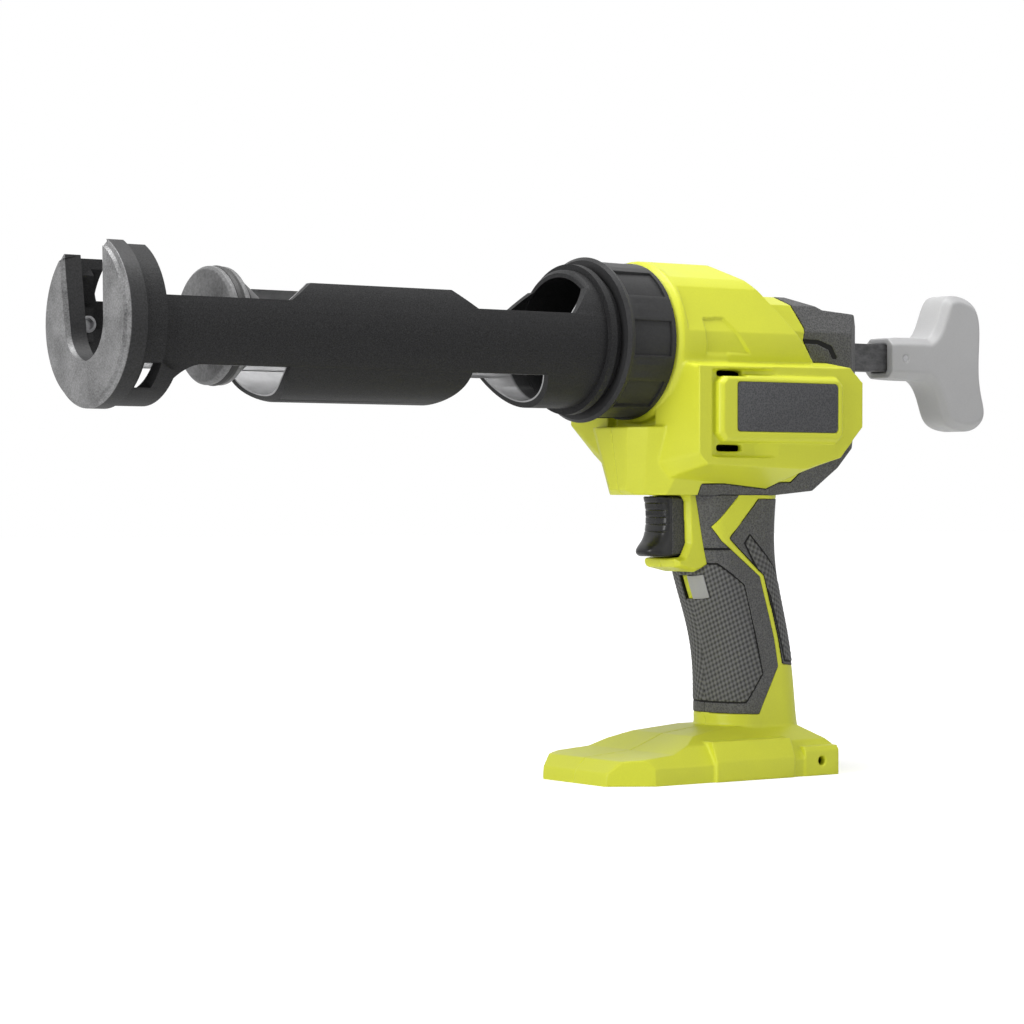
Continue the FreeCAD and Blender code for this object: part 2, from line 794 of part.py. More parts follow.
rear_bush_half_width = dim.rod_width / 2 + run + dim.rear_bush_wall
rear_bush_half_height = dim.rod_height / 2 + run + dim.rear_bush_wall
rear_opening = block(dim.body_rear - over, dim.body_rear + dim.wall + over,
                     -rear_bush_half_width - dim.seat_clearance, rear_bush_half_width + dim.seat_clearance,
                     rod_height_above - rear_bush_half_height - dim.seat_clearance,
                     rod_height_above + rear_bush_half_height + dim.seat_clearance)
front_opening = round_x(dim.neck_radius + run, dim.drum_front - dim.wall - over, dim.drum_front + over)
trigger_half = dim.trigger_width / 2
trigger_top = dim.trigger_bottom + dim.trigger_height
trigger_slot = block(dim.trigger_rear - dim.trigger_travel - run - run,
                     dim.guard_rear + dim.guard_length + over, -trigger_half - run, trigger_half + run,
                     dim.trigger_bottom - run, trigger_top + run)

# The lock button slides across a flat recess in the grip's leaning front

lower_front, upper_front = grip_section_shares[3], grip_section_shares[2]
lean_run = (upper_front[1] - lower_front[1]) * dim.grip_length
lean_rise = (upper_front[0] - lower_front[0]) * dim.grip_height
lower_height = dim.grip_bottom + lower_front[0] * dim.grip_height
lean = math.degrees(math.atan2(lean_run, lean_rise))
button_front = (dim.grip_rear + lower_front[1] * dim.grip_length
                + (dim.button_middle - lower_height) * lean_run / lean_rise)
button_right = dim.button_left - dim.button_width
stem_middle = dim.button_left - dim.button_width / 2


def leaning(depth_low, depth_high, right, left, height):
    """A block between two depths behind the grip's front, turned to lie along it."""
    upright = block(-depth_high, -depth_low, right, left, -height / 2, height / 2)
    turned_block = upright.rotated(FreeCAD.Vector(0, 0, 0), Y_AXIS, lean)
    return turned_block.translated(FreeCAD.Vector(button_front, 0, dim.button_middle))


deck_depth = dim.button_recess + dim.button_deck
stem_half = dim.button_stem_width / 2
window = leaning(-over, dim.button_recess, button_right - dim.button_travel - run,
                 dim.button_left + run, dim.button_height + run + run)
stem_slot = leaning(0, deck_depth + over, stem_middle - stem_half - dim.button_travel - run,
                    stem_middle + stem_half + run, dim.button_stem_height + run + run)
deck = leaning(dim.cover_thickness, deck_depth, -far, far, dim.button_height + dim.wall + dim.wall)
deck = deck.common(full_grip)

shell = outer.cut(hollow()).fuse(bosses + [deck]).removeSplitter()
shell = shell.cut(side_cuts(box_face_shares) + [hook_hole])
shell = shell.cut([mirrored(cut) for cut in side_cuts(right_face_shares)])
shell = shell.cut([rear_opening, front_opening, trigger_slot, window, stem_slot])
shell = shell.cut(at_screws(screw(dim.pin_clearance, -far)))
covers = [grip_skin.cut(window).cut(trigger_slot), strap_skin,
          rear_skin.cut(rear_opening).cut(trigger_slot)]
covers = [cover.cut(at_screws(screw(dim.pin_clearance, -far))) for cover in covers]
shell = shell.cut(covers)

left_half = block(-far, far, 0, far, -far, far)
right_half = mirrored(left_half)
piece("left_housing", shell.common(left_half))
piece("right_housing", shell.common(right_half))
for name, cover in zip(("grip_cover", "back_strap", "rear_cover"), covers):
    piece(f"left_{name}", cover.common(left_half))
    piece(f"right_{name}", cover.common(right_half))
left_badge = badge(0)
piece("left_badge_plate", left_badge)
piece("right_badge_plate", mirrored(left_badge))
piece("housing_screws", Part.makeCompound(at_screws(screw(0, -dim.screw_reach - dim.screw_head))))

# Nose mount, rod bushes and lock collar

mount = turned_along_barrel("carriage_mount", [
    ("mount_flange_rear", "0"), ("mount_flange_rear", "mount_flange_radius"),
    ("drum_front - wall", "mount_flange_radius"), ("drum_front - wall", "neck_radius"),
    ("neck_front", "neck_radius"), ("neck_front", "spigot_radius + run_clearance"),
    ("drum_front - wall", "spigot_radius + run_clearance"), ("drum_front - wall", "0")])
front_bush_half = "(rod_width / 2 + run_clearance + bush_wall)"
front_bush_low = "(-rod_drop - rod_height / 2 - run_clearance - bush_wall)"
front_bush_high = "(-rod_drop + rod_height / 2 + run_clearance + bush_wall)"
rod_hole = rectangle("-rod_width / 2 - run_clearance", "rod_width / 2 + run_clearance",
                     "-rod_drop - rod_height / 2 - run_clearance",
                     "-rod_drop + rod_height / 2 + run_clearance")
pocket_through(mount, "YZ_Plane", rectangle(
    f"-{front_bush_half} - seat_clearance", f"{front_bush_half} + seat_clearance",
    f"{front_bush_low} - seat_clearance", f"{front_bush_high} + seat_clearance"))
front_bush = padded(
    "rod_front_bush", "YZ_Plane",
    rectangle(f"-{front_bush_half}", front_bush_half, front_bush_low, front_bush_high),
    "drum_front - wall - mount_flange_rear + front_bush_proud + front_bush_proud",
    x_place="(drum_front - wall + mount_flange_rear) / 2", z_place="barrel_height")
pocket_through(front_bush, "YZ_Plane", rod_hole)
rear_bush = padded(
    "rod_rear_bush", "YZ_Plane",
    rectangle("-rod_width / 2 - run_clearance - rear_bush_wall",
              "rod_width / 2 + run_clearance + rear_bush_wall",
              "-rod_drop - rod_height / 2 - run_clearance - rear_bush_wall",
              "-rod_drop + rod_height / 2 + run_clearance + rear_bush_wall"),
    "rear_bush_length", x_place="body_rear - rear_bush_proud + rear_bush_length / 2",
    z_place="barrel_height")
pocket_through(rear_bush, "YZ_Plane", rod_hole)

collar_bore = dim.neck_radius + run
collar_lip_bore = dim.arm_radius + run
collar_panel_radius = dim.collar_rear_radius - dim.collar_rib_height
band_rear = dim.collar_front - dim.collar_band
band_edge = dim.collar_front_radius - dim.collar_lip
collar = turned_solid([
    (dim.collar_rear, collar_bore), (dim.collar_rear, dim.collar_rear_radius),
    (dim.collar_rear + dim.collar_band / 2, dim.collar_rear_radius),
    (dim.collar_rear + dim.collar_band / 2, collar_panel_radius), (band_rear, collar_panel_radius),
    (band_rear, band_edge), (dim.collar_front - dim.collar_lip, dim.collar_front_radius),
    (dim.collar_front, band_edge), (dim.collar_front, collar_lip_bore),
    (dim.collar_front - dim.collar_lip, collar_lip_bore), (dim.collar_front - dim.collar_lip, collar_bore)])
rib_shell = turned_solid([
    (dim.collar_rear + dim.collar_lip, collar_bore),
    (dim.collar_rear + dim.collar_lip, dim.collar_rear_radius), (band_rear, band_edge),
    (band_rear, collar_bore)])
rib_half = dim.collar_rib_width / 2
rib = rib_shell.common(block(dim.collar_rear, dim.collar_front, -rib_half, rib_half, barrel,
                             barrel + dim.collar_front_radius))
rib_turn_share = 0.5
barrel_point = FreeCAD.Vector(0, 0, barrel)


def around_barrel(shape, count):
    return [shape.rotated(barrel_point, X_AXIS, 360 * (index + rib_turn_share) / count)
            for index in range(count)]


piece("lock_collar", fused([collar] + around_barrel(rib, int(dim.collar_rib_count))))

# Carriage: the ring that turns in the nose, two arms with a belly band, and the front cup

arm_bore = dim.arm_radius - dim.arm_wall
ring = turned_solid([
    (dim.spigot_rear, dim.ring_bore), (dim.spigot_rear, dim.spigot_radius),
    (dim.thrust_front - dim.thrust_width, dim.spigot_radius),
    (dim.thrust_front - dim.thrust_width, dim.thrust_radius),
    (dim.thrust_front, dim.thrust_radius), (dim.thrust_front, dim.arm_radius),
    (dim.ring_step - dim.ring_step_width, dim.arm_radius),
    (dim.ring_step - dim.ring_step_width, dim.ring_step_radius),
    (dim.ring_step, dim.ring_step_radius), (dim.ring_step, dim.arm_radius),
    (dim.ring_front - dim.ring_bevel, dim.arm_radius), (dim.ring_front, dim.arm_radius - dim.ring_bevel),
    (dim.ring_front, dim.ring_bore)])
tube = turned_solid([(dim.ring_step, arm_bore), (dim.ring_step, dim.arm_radius),
                     (plate_back, dim.arm_radius), (plate_back, arm_bore)])


def side_prism(*corners):
    """A side view outline about the barrel line, drawn out across the whole barrel."""
    return prism_y([(x, barrel + z) for x, z in corners], -dim.plate_radius, dim.plate_radius)


below = -dim.plate_radius - over
cup_low = plate_back - dim.cup_depth
gusset_front = dim.ring_front + dim.ring_gusset_length
flare_rear = cup_low - dim.belly_corner
belly_low = -dim.arm_radius - dim.belly_sag
belly = side_prism((dim.belly_rear, dim.arm_bottom), (dim.belly_front, dim.arm_bottom),
                   (dim.belly_front, belly_low), (dim.belly_rear, belly_low))
belly_edges = [edge for edge in belly.Edges if edge.BoundBox.ZMax < barrel - dim.arm_radius
               and edge.BoundBox.YLength > dim.plate_radius]
flare = side_prism((flare_rear, dim.arm_bottom), (plate_back, dim.arm_bottom), (plate_back, below),
                   (flare_rear, below))
flare_middle = dim.arm_bottom - dim.belly_corner
flare = flare.cut(round_y(dim.belly_corner, -dim.plate_radius, dim.plate_radius, flare_rear,
                          barrel + flare_middle))
flare = flare.cut(side_prism((flare_rear, flare_middle), (cup_low, flare_middle), (cup_low, below),
                             (flare_rear, below)))
arm_views = [
    side_prism((dim.ring_step, dim.arm_bottom), (plate_back, dim.arm_bottom), (plate_back, dim.arm_top),
               (dim.ring_step, dim.arm_top)),
    side_prism((dim.crown_rear - dim.crown_slope, dim.arm_top),
               (dim.crown_front + dim.crown_slope, dim.arm_top),
               (dim.crown_front, dim.crown_top), (dim.crown_rear, dim.crown_top)),
    side_prism((dim.ring_step, dim.arm_top), (gusset_front, dim.arm_top),
               (dim.ring_front, dim.ring_gusset_top), (dim.ring_step, dim.ring_gusset_top)),
    side_prism((plate_back - dim.cup_side_depth, dim.arm_top), (plate_back, dim.arm_top),
               (plate_back, dim.plate_radius - dim.cup_wall)),
    side_prism((dim.ring_step, dim.arm_bottom), (gusset_front + dim.ring_gusset_length, dim.arm_bottom),
               (gusset_front, below), (dim.ring_step, below)),
    belly.makeFillet(dim.belly_corner, belly_edges),
    flare,
]
arms = tube.common(fused(arm_views))
cup_bore = dim.cup_radius - dim.cup_wall
cup = turned_solid([(cup_low, cup_bore), (cup_low, dim.cup_radius), (plate_back, dim.cup_radius),
                    (plate_back, cup_bore)])
cup_side = plate_back - dim.cup_side_depth
cup = cup.common(side_prism((cup_low, below), (plate_back, below), (plate_back, dim.plate_radius),
                            (cup_side, dim.plate_radius - dim.cup_wall), (cup_side, dim.arm_bottom),
                            (cup_low, dim.arm_bottom - dim.cup_wall)))
slot_side = [(dim.slot_half_width, barrel), (dim.slot_mouth_half_width, barrel + dim.plate_radius + over)]
slot = fused([round_x(dim.slot_half_width, cup_low - over, dim.plate_front + over),
              prism_x(slot_side + [(-across, up) for across, up in reversed(slot_side)], cup_low - over,
                      dim.plate_front + over)])
slot.rotate(FreeCAD.Vector(0, 0, barrel), X_AXIS, dim.slot_turn)
window_front = plate_back - dim.cup_wall / 2
cup_window = block(window_front - dim.cup_window_length, window_front, -dim.plate_radius, dim.plate_radius,
                   barrel + dim.arm_bottom - dim.cup_window_height, barrel + dim.arm_bottom)
lug_rear = plate_back - dim.plate_screw_length / 2
lug_view = side_prism((lug_rear, -dim.lug_half_height), (plate_back, -dim.lug_half_height),
                      (plate_back, dim.lug_half_height), (lug_rear, dim.lug_half_height))
lug_radius = arm_bore - dim.seat_clearance
screw_seat = lug_radius - dim.arm_wall
lugs = turned_solid([(lug_rear, screw_seat), (lug_rear, lug_radius), (plate_back, lug_radius),
                     (plate_back, screw_seat)]).common(lug_view)
plate_screw_x = (lug_rear + plate_back) / 2
head_seat = screw_seat - dim.arm_wall / 2


def plate_screw(grow):
    """The left screw that holds the end plate's lug to the arm, or its hole."""
    shank = round_y(dim.plate_screw_radius + grow, head_seat, dim.arm_radius + grow * over,
                    plate_screw_x, barrel)
    head = round_y(dim.plate_screw_head_radius + grow, head_seat - dim.plate_screw_head, head_seat,
                   plate_screw_x, barrel)
    return shank.fuse(head).removeSplitter()


screw_pair = [plate_screw(0), mirrored(plate_screw(0))]
screw_holes = [plate_screw(dim.seat_clearance), mirrored(plate_screw(dim.seat_clearance))]
frame = fused([ring, arms, cup]).cut([slot, cup_window] + screw_holes)
piece("carriage_frame", frame)
plate = turned_solid([(plate_back, 0), (plate_back, dim.plate_radius),
                      (dim.plate_front - dim.plate_bevel, dim.plate_radius),
                      (dim.plate_front, dim.plate_radius - dim.plate_bevel), (dim.plate_front, 0)])
piece("front_end_plate", fused([plate, lugs]).cut([slot] + screw_holes))
piece("end_plate_screws", Part.makeCompound(screw_pair))

# Rod with its rack, piston and pull handle

piston_back = dim.piston_front - dim.piston_thickness
tooth_pitch = math.pi * dim.rack_module
tooth_height_share = 2.25
pressure_angle = math.radians(20)


def rack_outline():
    """The rod's side view, with rack teeth under its middle stretch."""
    root = rod_underside + tooth_height_share * dim.rack_module
    half_gap = tooth_pitch / 4 + dim.gear_backlash / 2
    slope = math.tan(pressure_angle)
    gap_low = half_gap + dim.rack_module * slope
    gap_high = half_gap - (tooth_height_share - 1) * dim.rack_module * slope
    first = math.ceil((dim.rack_rear - dim.pinion_x) / tooth_pitch)
    last = math.floor((dim.rack_front - dim.pinion_x) / tooth_pitch)
    outline = [(dim.rod_rear, rod_underside)]
    for index in range(first, last + 1):
        middle = dim.pinion_x + index * tooth_pitch
        outline += [(middle - gap_low, rod_underside), (middle - gap_high, root),
                    (middle + gap_high, root), (middle + gap_low, rod_underside)]
    top = rod_underside + dim.rod_height
    return outline + [(piston_back, rod_underside), (piston_back, top), (dim.rod_rear, top)]


handle_pin_x = dim.handle_boss_front - dim.handle_pin_set_back
rod = prism_y(rack_outline(), -dim.rod_width / 2, dim.rod_width / 2)
pin_hole = round_y(dim.handle_pin_radius + dim.seat_clearance, -far, far, handle_pin_x,
                   rod_height_above)
tap_hole = round_x(dim.piston_screw_radius + dim.seat_clearance,
                   dim.piston_front - dim.piston_screw_length, dim.piston_front)
piece("drive_rod", rod.cut([pin_hole, tap_hole]))
piston_rear = "(piston_front - piston_thickness)"
cone_rear = "(piston_front - piston_thickness - piston_cone_length)"
cone_rim = "(piston_radius - piston_bevel - piston_cone_step)"
seal_front = "(piston_front - (piston_thickness - seal_width) / 2)"
seal_floor = "(piston_radius - seal_depth)"
screw_hole = "(piston_screw_radius + seat_clearance)"
turned_along_barrel("piston_plate", [
    (piston_rear, screw_hole), (piston_rear, "piston_radius - piston_bevel"),
    (f"{piston_rear} + piston_bevel", "piston_radius"), (f"{seal_front} - seal_width", "piston_radius"),
    (f"{seal_front} - seal_width", seal_floor), (seal_front, seal_floor), (seal_front, "piston_radius"),
    ("piston_front - piston_bevel", "piston_radius"), ("piston_front", "piston_radius - piston_bevel"),
    ("piston_front", screw_hole)])
turned_along_barrel("piston_seal", [
    (f"{seal_front} - seal_width", f"{seal_floor} + seat_clearance"),
    (f"{seal_front} - seal_width", "piston_radius"),
    (f"{seal_front} - seal_width / 2", "piston_radius + seal_proud"), (seal_front, "piston_radius"),
    (seal_front, f"{seal_floor} + seat_clearance")])
backing = turned_along_barrel("piston_backing", [
    (piston_rear, "0"), (piston_rear, cone_rim), (f"{piston_rear} - piston_cone_step", cone_rim),
    (cone_rear, "piston_cone_radius"), (cone_rear, "0")])
pocket_through(backing, "YZ_Plane", rectangle(
    "-rod_width / 2 - seat_clearance", "rod_width / 2 + seat_clearance",
    "-rod_drop - rod_height / 2 - seat_clearance", "-rod_drop + rod_height / 2 + seat_clearance"))
turned_along_barrel("piston_screw", [
    ("piston_front - piston_screw_length", "0"), ("piston_front - piston_screw_length", "piston_screw_radius"),
    ("piston_front", "piston_screw_radius"), ("piston_front", "piston_screw_head_radius"),
    ("piston_front + piston_screw_head / 2", "piston_screw_head_radius"),
    ("piston_front + piston_screw_head", "piston_screw_head_radius / 2"),
    ("piston_front + piston_screw_head", "0")])

# The pull handle's side view follows shares of its bar: along from the bar's middle, up from the rod
bar_shares = [(1.15, 0.14), (0.62, 0.37), (0.45, 0.46), (0.1, 0.475), (-0.36, 0.4), (-0.5, 0.1),
              (-0.56, -0.25), (-0.62, -0.42), (-0.4, -0.5), (0.1, -0.52), (0.5, -0.46), (0.66, -0.35),
              (1.15, -0.14)]
bar_bevel_share = 0.33
boss_swell_shares = (1, 1.04, 0.9)
boss_corner_share = 0.35


def pull_handle():
    across = [FreeCAD.Vector(x, 0, z) for x, z in from_shares(
        bar_shares, dim.handle_bar_middle, dim.handle_bar_depth, rod_height_above, dim.handle_bar_height)]
    curve = Part.BSplineCurve()
    curve.interpolate(across)
    join = Part.LineSegment(across[-1], across[0])
    face = Part.Face(Part.Wire([curve.toShape(), join.toShape()]))
    half = dim.handle_bar_width / 2
    bar = face.extrude(FreeCAD.Vector(0, dim.handle_bar_width, 0))
    bar = bar.translated(FreeCAD.Vector(0, -half, 0))
    rims = [edge for edge in bar.Edges if edge.BoundBox.YLength < dim.seat_clearance
            and edge.BoundBox.ZLength > dim.handle_bar_width]
    bar = bar.makeChamfer(bar_bevel_share * half, rims)
    ends = (dim.handle_boss_front, dim.handle_boss_front - dim.handle_boss_length, dim.handle_bar_middle)
    sections = [boss_section(share * dim.handle_boss_radius, x)
                for share, x in zip(boss_swell_shares, ends)]
    return fused([bar, Part.makeLoft(sections, True, False)])


def boss_section(half, x):
    """An upright eight sided section around the rod."""
    cut = boss_corner_share * half
    outline = [(half - cut, half), (half, half - cut), (half, cut - half), (half - cut, -half)]
    outline = outline + [(-y, z) for y, z in reversed(outline)]
    return polygon([FreeCAD.Vector(x, y, rod_height_above + z) for y, z in outline])


rod_socket = block(dim.rod_rear - dim.seat_clearance, dim.handle_boss_front + over,
                   -dim.rod_width / 2 - dim.seat_clearance, dim.rod_width / 2 + dim.seat_clearance,
                   rod_underside - dim.seat_clearance, rod_underside + dim.rod_height + dim.seat_clearance)
piece("pull_handle", pull_handle().cut([rod_socket, pin_hole]))
piece("handle_pin", round_y(dim.handle_pin_radius, -dim.handle_boss_radius, dim.handle_boss_radius,
                            handle_pin_x, rod_height_above))

# Gears

flank_steps = 4
ring_root_share = 1.25


def involute(angle):
    return math.tan(angle) - angle


def gear_outline(teeth, module, backlash, phase, addendum_share=1, dedendum_share=1.25):
    """Corners of a spur gear about its own centre, with a tooth at the phase angle."""
    pitch = module * teeth / 2
    base = pitch * math.cos(pressure_angle)
    tip = pitch + addendum_share * module
    root = pitch - dedendum_share * module
    start = max(base, root)
    half_tooth = math.pi / (2 * teeth) - backlash / (2 * pitch) + involute(pressure_angle)
    flank = []
    for step in range(flank_steps + 1):
        radius = start + (tip - start) * step / flank_steps
        flank.append((radius, half_tooth - involute(math.acos(base / radius))))
    if root < base:
        flank.insert(0, (root, half_tooth))
    outline = []
    for tooth in range(int(teeth)):
        middle = phase + 2 * math.pi * tooth / teeth
        for radius, half in flank:
            outline.append((radius * math.cos(middle - half), radius * math.sin(middle - half)))
        for radius, half in reversed(flank):
            outline.append((radius * math.cos(middle + half), radius * math.sin(middle + half)))
    return outline


def gear(outline, x, z, low, high):
    return prism_y([(x + across, z + up) for across, up in outline], low, high)


spur_low = dim.spur_left - dim.spur_width
frame_right_low = dim.frame_right - dim.frame_right_thickness
frame_left_high = dim.frame_left + dim.frame_left_thickness
mesh_angle = math.atan2(motor_z - pinion_z, motor_x - dim.pinion_x)

pinion_teeth = gear_outline(dim.pinion_teeth, dim.rack_module, dim.gear_backlash, math.pi / 2)
pinion_shaft = round_y(dim.pinion_shaft_radius, frame_right_low, frame_left_high, dim.pinion_x, pinion_z)
piece("rack_pinion", fused([
    gear(pinion_teeth, dim.pinion_x, pinion_z, -dim.pinion_half_width, dim.pinion_half_width), pinion_shaft]))
driven = gear_outline(dim.driven_teeth, dim.spur_module, dim.gear_backlash, mesh_angle)
driven_bore = round_y(dim.pinion_shaft_radius + dim.seat_clearance, -far, far, dim.pinion_x, pinion_z)
driven_hub = round_y(dim.pinion_shaft_radius + dim.bush_wall, dim.spur_left, -dim.pinion_half_width,
                     dim.pinion_x, pinion_z)
driven_rim = gear(driven, dim.pinion_x, pinion_z, spur_low, dim.spur_left)
piece("driven_gear", fused([driven_rim, driven_hub]).cut(driven_bore))

carrier_left = dim.planet_left - dim.planet_width - dim.carrier_gap
carrier_right = carrier_left - dim.carrier_thickness
dog_orbit = dim.clutch_shaft_radius + dim.dog_width


def dogs(low, high, turn):
    """Two opposite dogs of the clutch between two levels."""
    pair = []
    for angle in (turn, turn + math.pi):
        x = motor_x + dog_orbit * math.cos(angle)
        z = motor_z + dog_orbit * math.sin(angle)
        pair.append(round_y(dim.dog_width / 2, low, high, x, z))
    return pair


clutch = gear_outline(dim.clutch_teeth, dim.spur_module, dim.gear_backlash,
                      mesh_angle + math.pi + math.pi / dim.clutch_teeth)
clutch_gear = fused([
    gear(clutch, motor_x, motor_z, spur_low, dim.spur_left),
    round_y(dim.clutch_shaft_radius, frame_right_low, spur_low, motor_x, motor_z)]
    + dogs(dim.spur_left, dim.spur_left + dim.dog_height, math.pi / 2))
pilot_hole = round_y(dim.pilot_radius + dim.pin_clearance, dim.spur_left - dim.pilot_length,
                     dim.spur_left + over, motor_x, motor_z)
piece("clutch_gear", clutch_gear.cut(pilot_hole))

planet_orbit = dim.planet_module * (dim.sun_teeth + dim.planet_teeth) / 2
planet_right = dim.planet_left - dim.planet_width
planet_count = 3
planet_turns = [2 * math.pi * index / planet_count for index in range(planet_count)]


def planet_centre(turn):
    return motor_x + planet_orbit * math.cos(turn), motor_z + planet_orbit * math.sin(turn)


sun = gear_outline(dim.sun_teeth, dim.planet_module, dim.planet_backlash, 0)
shaft_bore = round_y(dim.rotor_shaft_radius + dim.seat_clearance, -far, far, motor_x, motor_z)
piece("sun_gear", gear(sun, motor_x, motor_z, planet_right, dim.planet_left).cut(shaft_bore))
for index, turn in enumerate(planet_turns, start=1):
    x, z = planet_centre(turn)
    planet = gear_outline(dim.planet_teeth, dim.planet_module, dim.planet_backlash,
                          turn + math.pi + math.pi / dim.planet_teeth)
    planet_bore = round_y(dim.planet_pin_radius + dim.pin_clearance, -far, far, x, z)
    piece(f"planet_gear_{index}", gear(planet, x, z, planet_right, dim.planet_left).cut(planet_bore))
carrier_pins = [round_y(dim.planet_pin_radius, carrier_left, dim.planet_left, *planet_centre(turn))
                for turn in planet_turns]
carrier_disc = round_y(dim.carrier_radius, carrier_right, carrier_left, motor_x, motor_z)
pilot = round_y(dim.pilot_radius, dim.spur_left - dim.pilot_length + dim.clutch_gap, carrier_right,
                motor_x, motor_z)
carrier_dogs = dogs(carrier_right - dim.dog_height, carrier_right, 0)
piece("planet_carrier", fused([carrier_disc, pilot] + carrier_pins + carrier_dogs))
ring_space = gear_outline(dim.ring_teeth, dim.planet_module, -dim.planet_backlash, 0, ring_root_share, 1)
case_right = carrier_right - dim.carrier_gap
ring_gear = round_y(dim.gear_case_radius, case_right, dim.frame_left, motor_x, motor_z)
ring_seat = round_y(dim.motor_radius + dim.pin_clearance, dim.motor_front, dim.frame_left + over,
                    motor_x, motor_z)
ring_teeth = gear(ring_space, motor_x, motor_z, case_right - over, dim.frame_left)
piece("ring_gear", ring_gear.cut([ring_teeth, ring_seat]))

# Motor

can_rear = "(motor_rear - motor_cap)"
shaft_hole = "(rotor_shaft_radius + pin_clearance)"
turned_across("motor_can", [
    (shaft_hole, "motor_front"), ("motor_radius", "motor_front"), ("motor_radius", can_rear),
    ("motor_radius - motor_wall", can_rear), ("motor_radius - motor_wall", "motor_front + motor_wall"),
    (shaft_hole, "motor_front + motor_wall")], motor_x_name, motor_z_name)
turned_across("motor_end_cap", [
    (shaft_hole, can_rear), ("motor_radius", can_rear), ("motor_radius", "motor_rear - motor_wall"),
    ("motor_radius - motor_wall", "motor_rear"), (shaft_hole, "motor_rear")], motor_x_name, motor_z_name)
turned_across("motor_rotor", [
    ("0", "planet_left - planet_width"), ("rotor_shaft_radius", "planet_left - planet_width"),
    ("rotor_shaft_radius", "rotor_front"), ("rotor_radius", "rotor_front"), ("rotor_radius", "rotor_rear"),
    ("rotor_shaft_radius", "rotor_rear"), ("rotor_shaft_radius", "motor_rear - motor_wall"),
    ("0", "motor_rear - motor_wall")], motor_x_name, motor_z_name)

# Gear frame: two plates on pillars that stand on the right side box

pillar_orbit = dim.gear_case_radius + dim.pillar_radius + run
pillar_turn_shares = (0.39, 0.47, 0.55)
pillar_places = [(motor_x + pillar_orbit * math.cos(2 * math.pi * share),
                  motor_z + pillar_orbit * math.sin(2 * math.pi * share)) for share in pillar_turn_shares]
pinion_place = (dim.pinion_x, pinion_z)
motor_place = (motor_x, motor_z)
bush_radius = dim.pinion_shaft_radius + dim.bush_wall
hub_end = dim.wall + dim.box_recess - dim.box_face


def link(start, end, radius, low, high):
    """A flat bar with round ends between two places of the side view."""
    along = FreeCAD.Vector(end[0] - start[0], 0, end[1] - start[1]).normalize()
    across = (-along.z * radius, along.x * radius)
    one_side = [(x + across[0], z + across[1]) for x, z in (start, end)]
    other_side = [(x - across[0], z - across[1]) for x, z in (end, start)]
    bar = prism_y(one_side + other_side, low, high)
    return [round_y(radius, low, high, *start), round_y(radius, low, high, *end), bar]


def frame_plate(low, high, extras):
    bars = link(motor_place, pinion_place, bush_radius + dim.frame_margin, low, high)
    for pillar in pillar_places:
        bars += link(motor_place, pillar, dim.pillar_radius + dim.frame_margin, low, high)
    holes = [round_y(bush_radius + dim.seat_clearance, -far, far, *pinion_place)]
    holes += [round_y(dim.pillar_radius + dim.seat_clearance, -far, far, *pillar)
              for pillar in pillar_places]
    return fused(bars + extras).cut(holes)


right_hub = round_y(dim.clutch_shaft_radius + dim.bush_wall, hub_end, dim.frame_right, *motor_place)
clutch_bore = round_y(dim.clutch_shaft_radius + dim.pin_clearance, -far, far, *motor_place)
piece("right_gear_plate", frame_plate(frame_right_low, dim.frame_right, [right_hub]).cut(clutch_bore))
motor_seat = round_y(dim.gear_case_radius, dim.frame_left, frame_left_high, *motor_place)
motor_bore = round_y(dim.motor_radius + dim.pin_clearance, -far, far, *motor_place)
piece("left_gear_plate", frame_plate(dim.frame_left, frame_left_high, [motor_seat]).cut(motor_bore))
piece("gear_frame_pillars", Part.makeCompound([
    round_y(dim.pillar_radius, frame_right_low, frame_left_high, *pillar) for pillar in pillar_places]))
shaft_space = round_y(dim.pinion_shaft_radius + dim.pin_clearance, -far, far, *pinion_place)
piece("pinion_bushes", Part.makeCompound([
    round_y(bush_radius, low, high, *pinion_place).cut(shaft_space)
    for low, high in ((frame_right_low, dim.frame_right), (dim.frame_left, frame_left_high))]))

# Trigger, its spring and switch

trigger_shares = [(0, 0.04), (0.62, 0), (0.93, 0.02), (1, 0.1), (0.84, 0.26), (0.72, 0.5), (0.73, 0.8),
                  (0.8, 1), (0.2, 1), (0, 0.8)]
groove_shares = (0.36, 0.5, 0.64)
split_share = 0.55
groove_floor_share = 0.66
core_share = 0.33


trigger_outline = from_shares(trigger_shares, dim.trigger_rear, dim.trigger_length, dim.trigger_bottom,
                              dim.trigger_height)
lever = soft_sided(trigger_outline, trigger_half, dim.trigger_edge)
trigger_front = dim.trigger_rear + dim.trigger_length
trigger_middle = dim.trigger_bottom + dim.trigger_height / 2
split = dim.trigger_rear + dim.trigger_length * split_share
groove_floor = dim.trigger_rear + dim.trigger_length * groove_floor_share
front_part = block(split, trigger_front + over, -dim.trigger_width, dim.trigger_width, 0, barrel)
grooves = []
for share in groove_shares:
    height = dim.trigger_bottom + share * dim.trigger_height
    half_groove = dim.trigger_pad_groove / 2
    grooves.append(block(groove_floor, trigger_front + over, -dim.trigger_width, dim.trigger_width,
                         height - half_groove, height + half_groove))
core = block(dim.trigger_rear, split + dim.trigger_pad_depth * core_share, -trigger_half / 2,
             trigger_half / 2, 0, barrel)
pad = lever.common(front_part).cut(core)
piece("trigger_pad", pad.cut([groove.cut(core) for groove in grooves]))
spring_seat = round_x(dim.plunger_radius + dim.seat_clearance, dim.trigger_rear, split, trigger_middle)
piece("trigger", lever.cut(pad).cut(spring_seat))
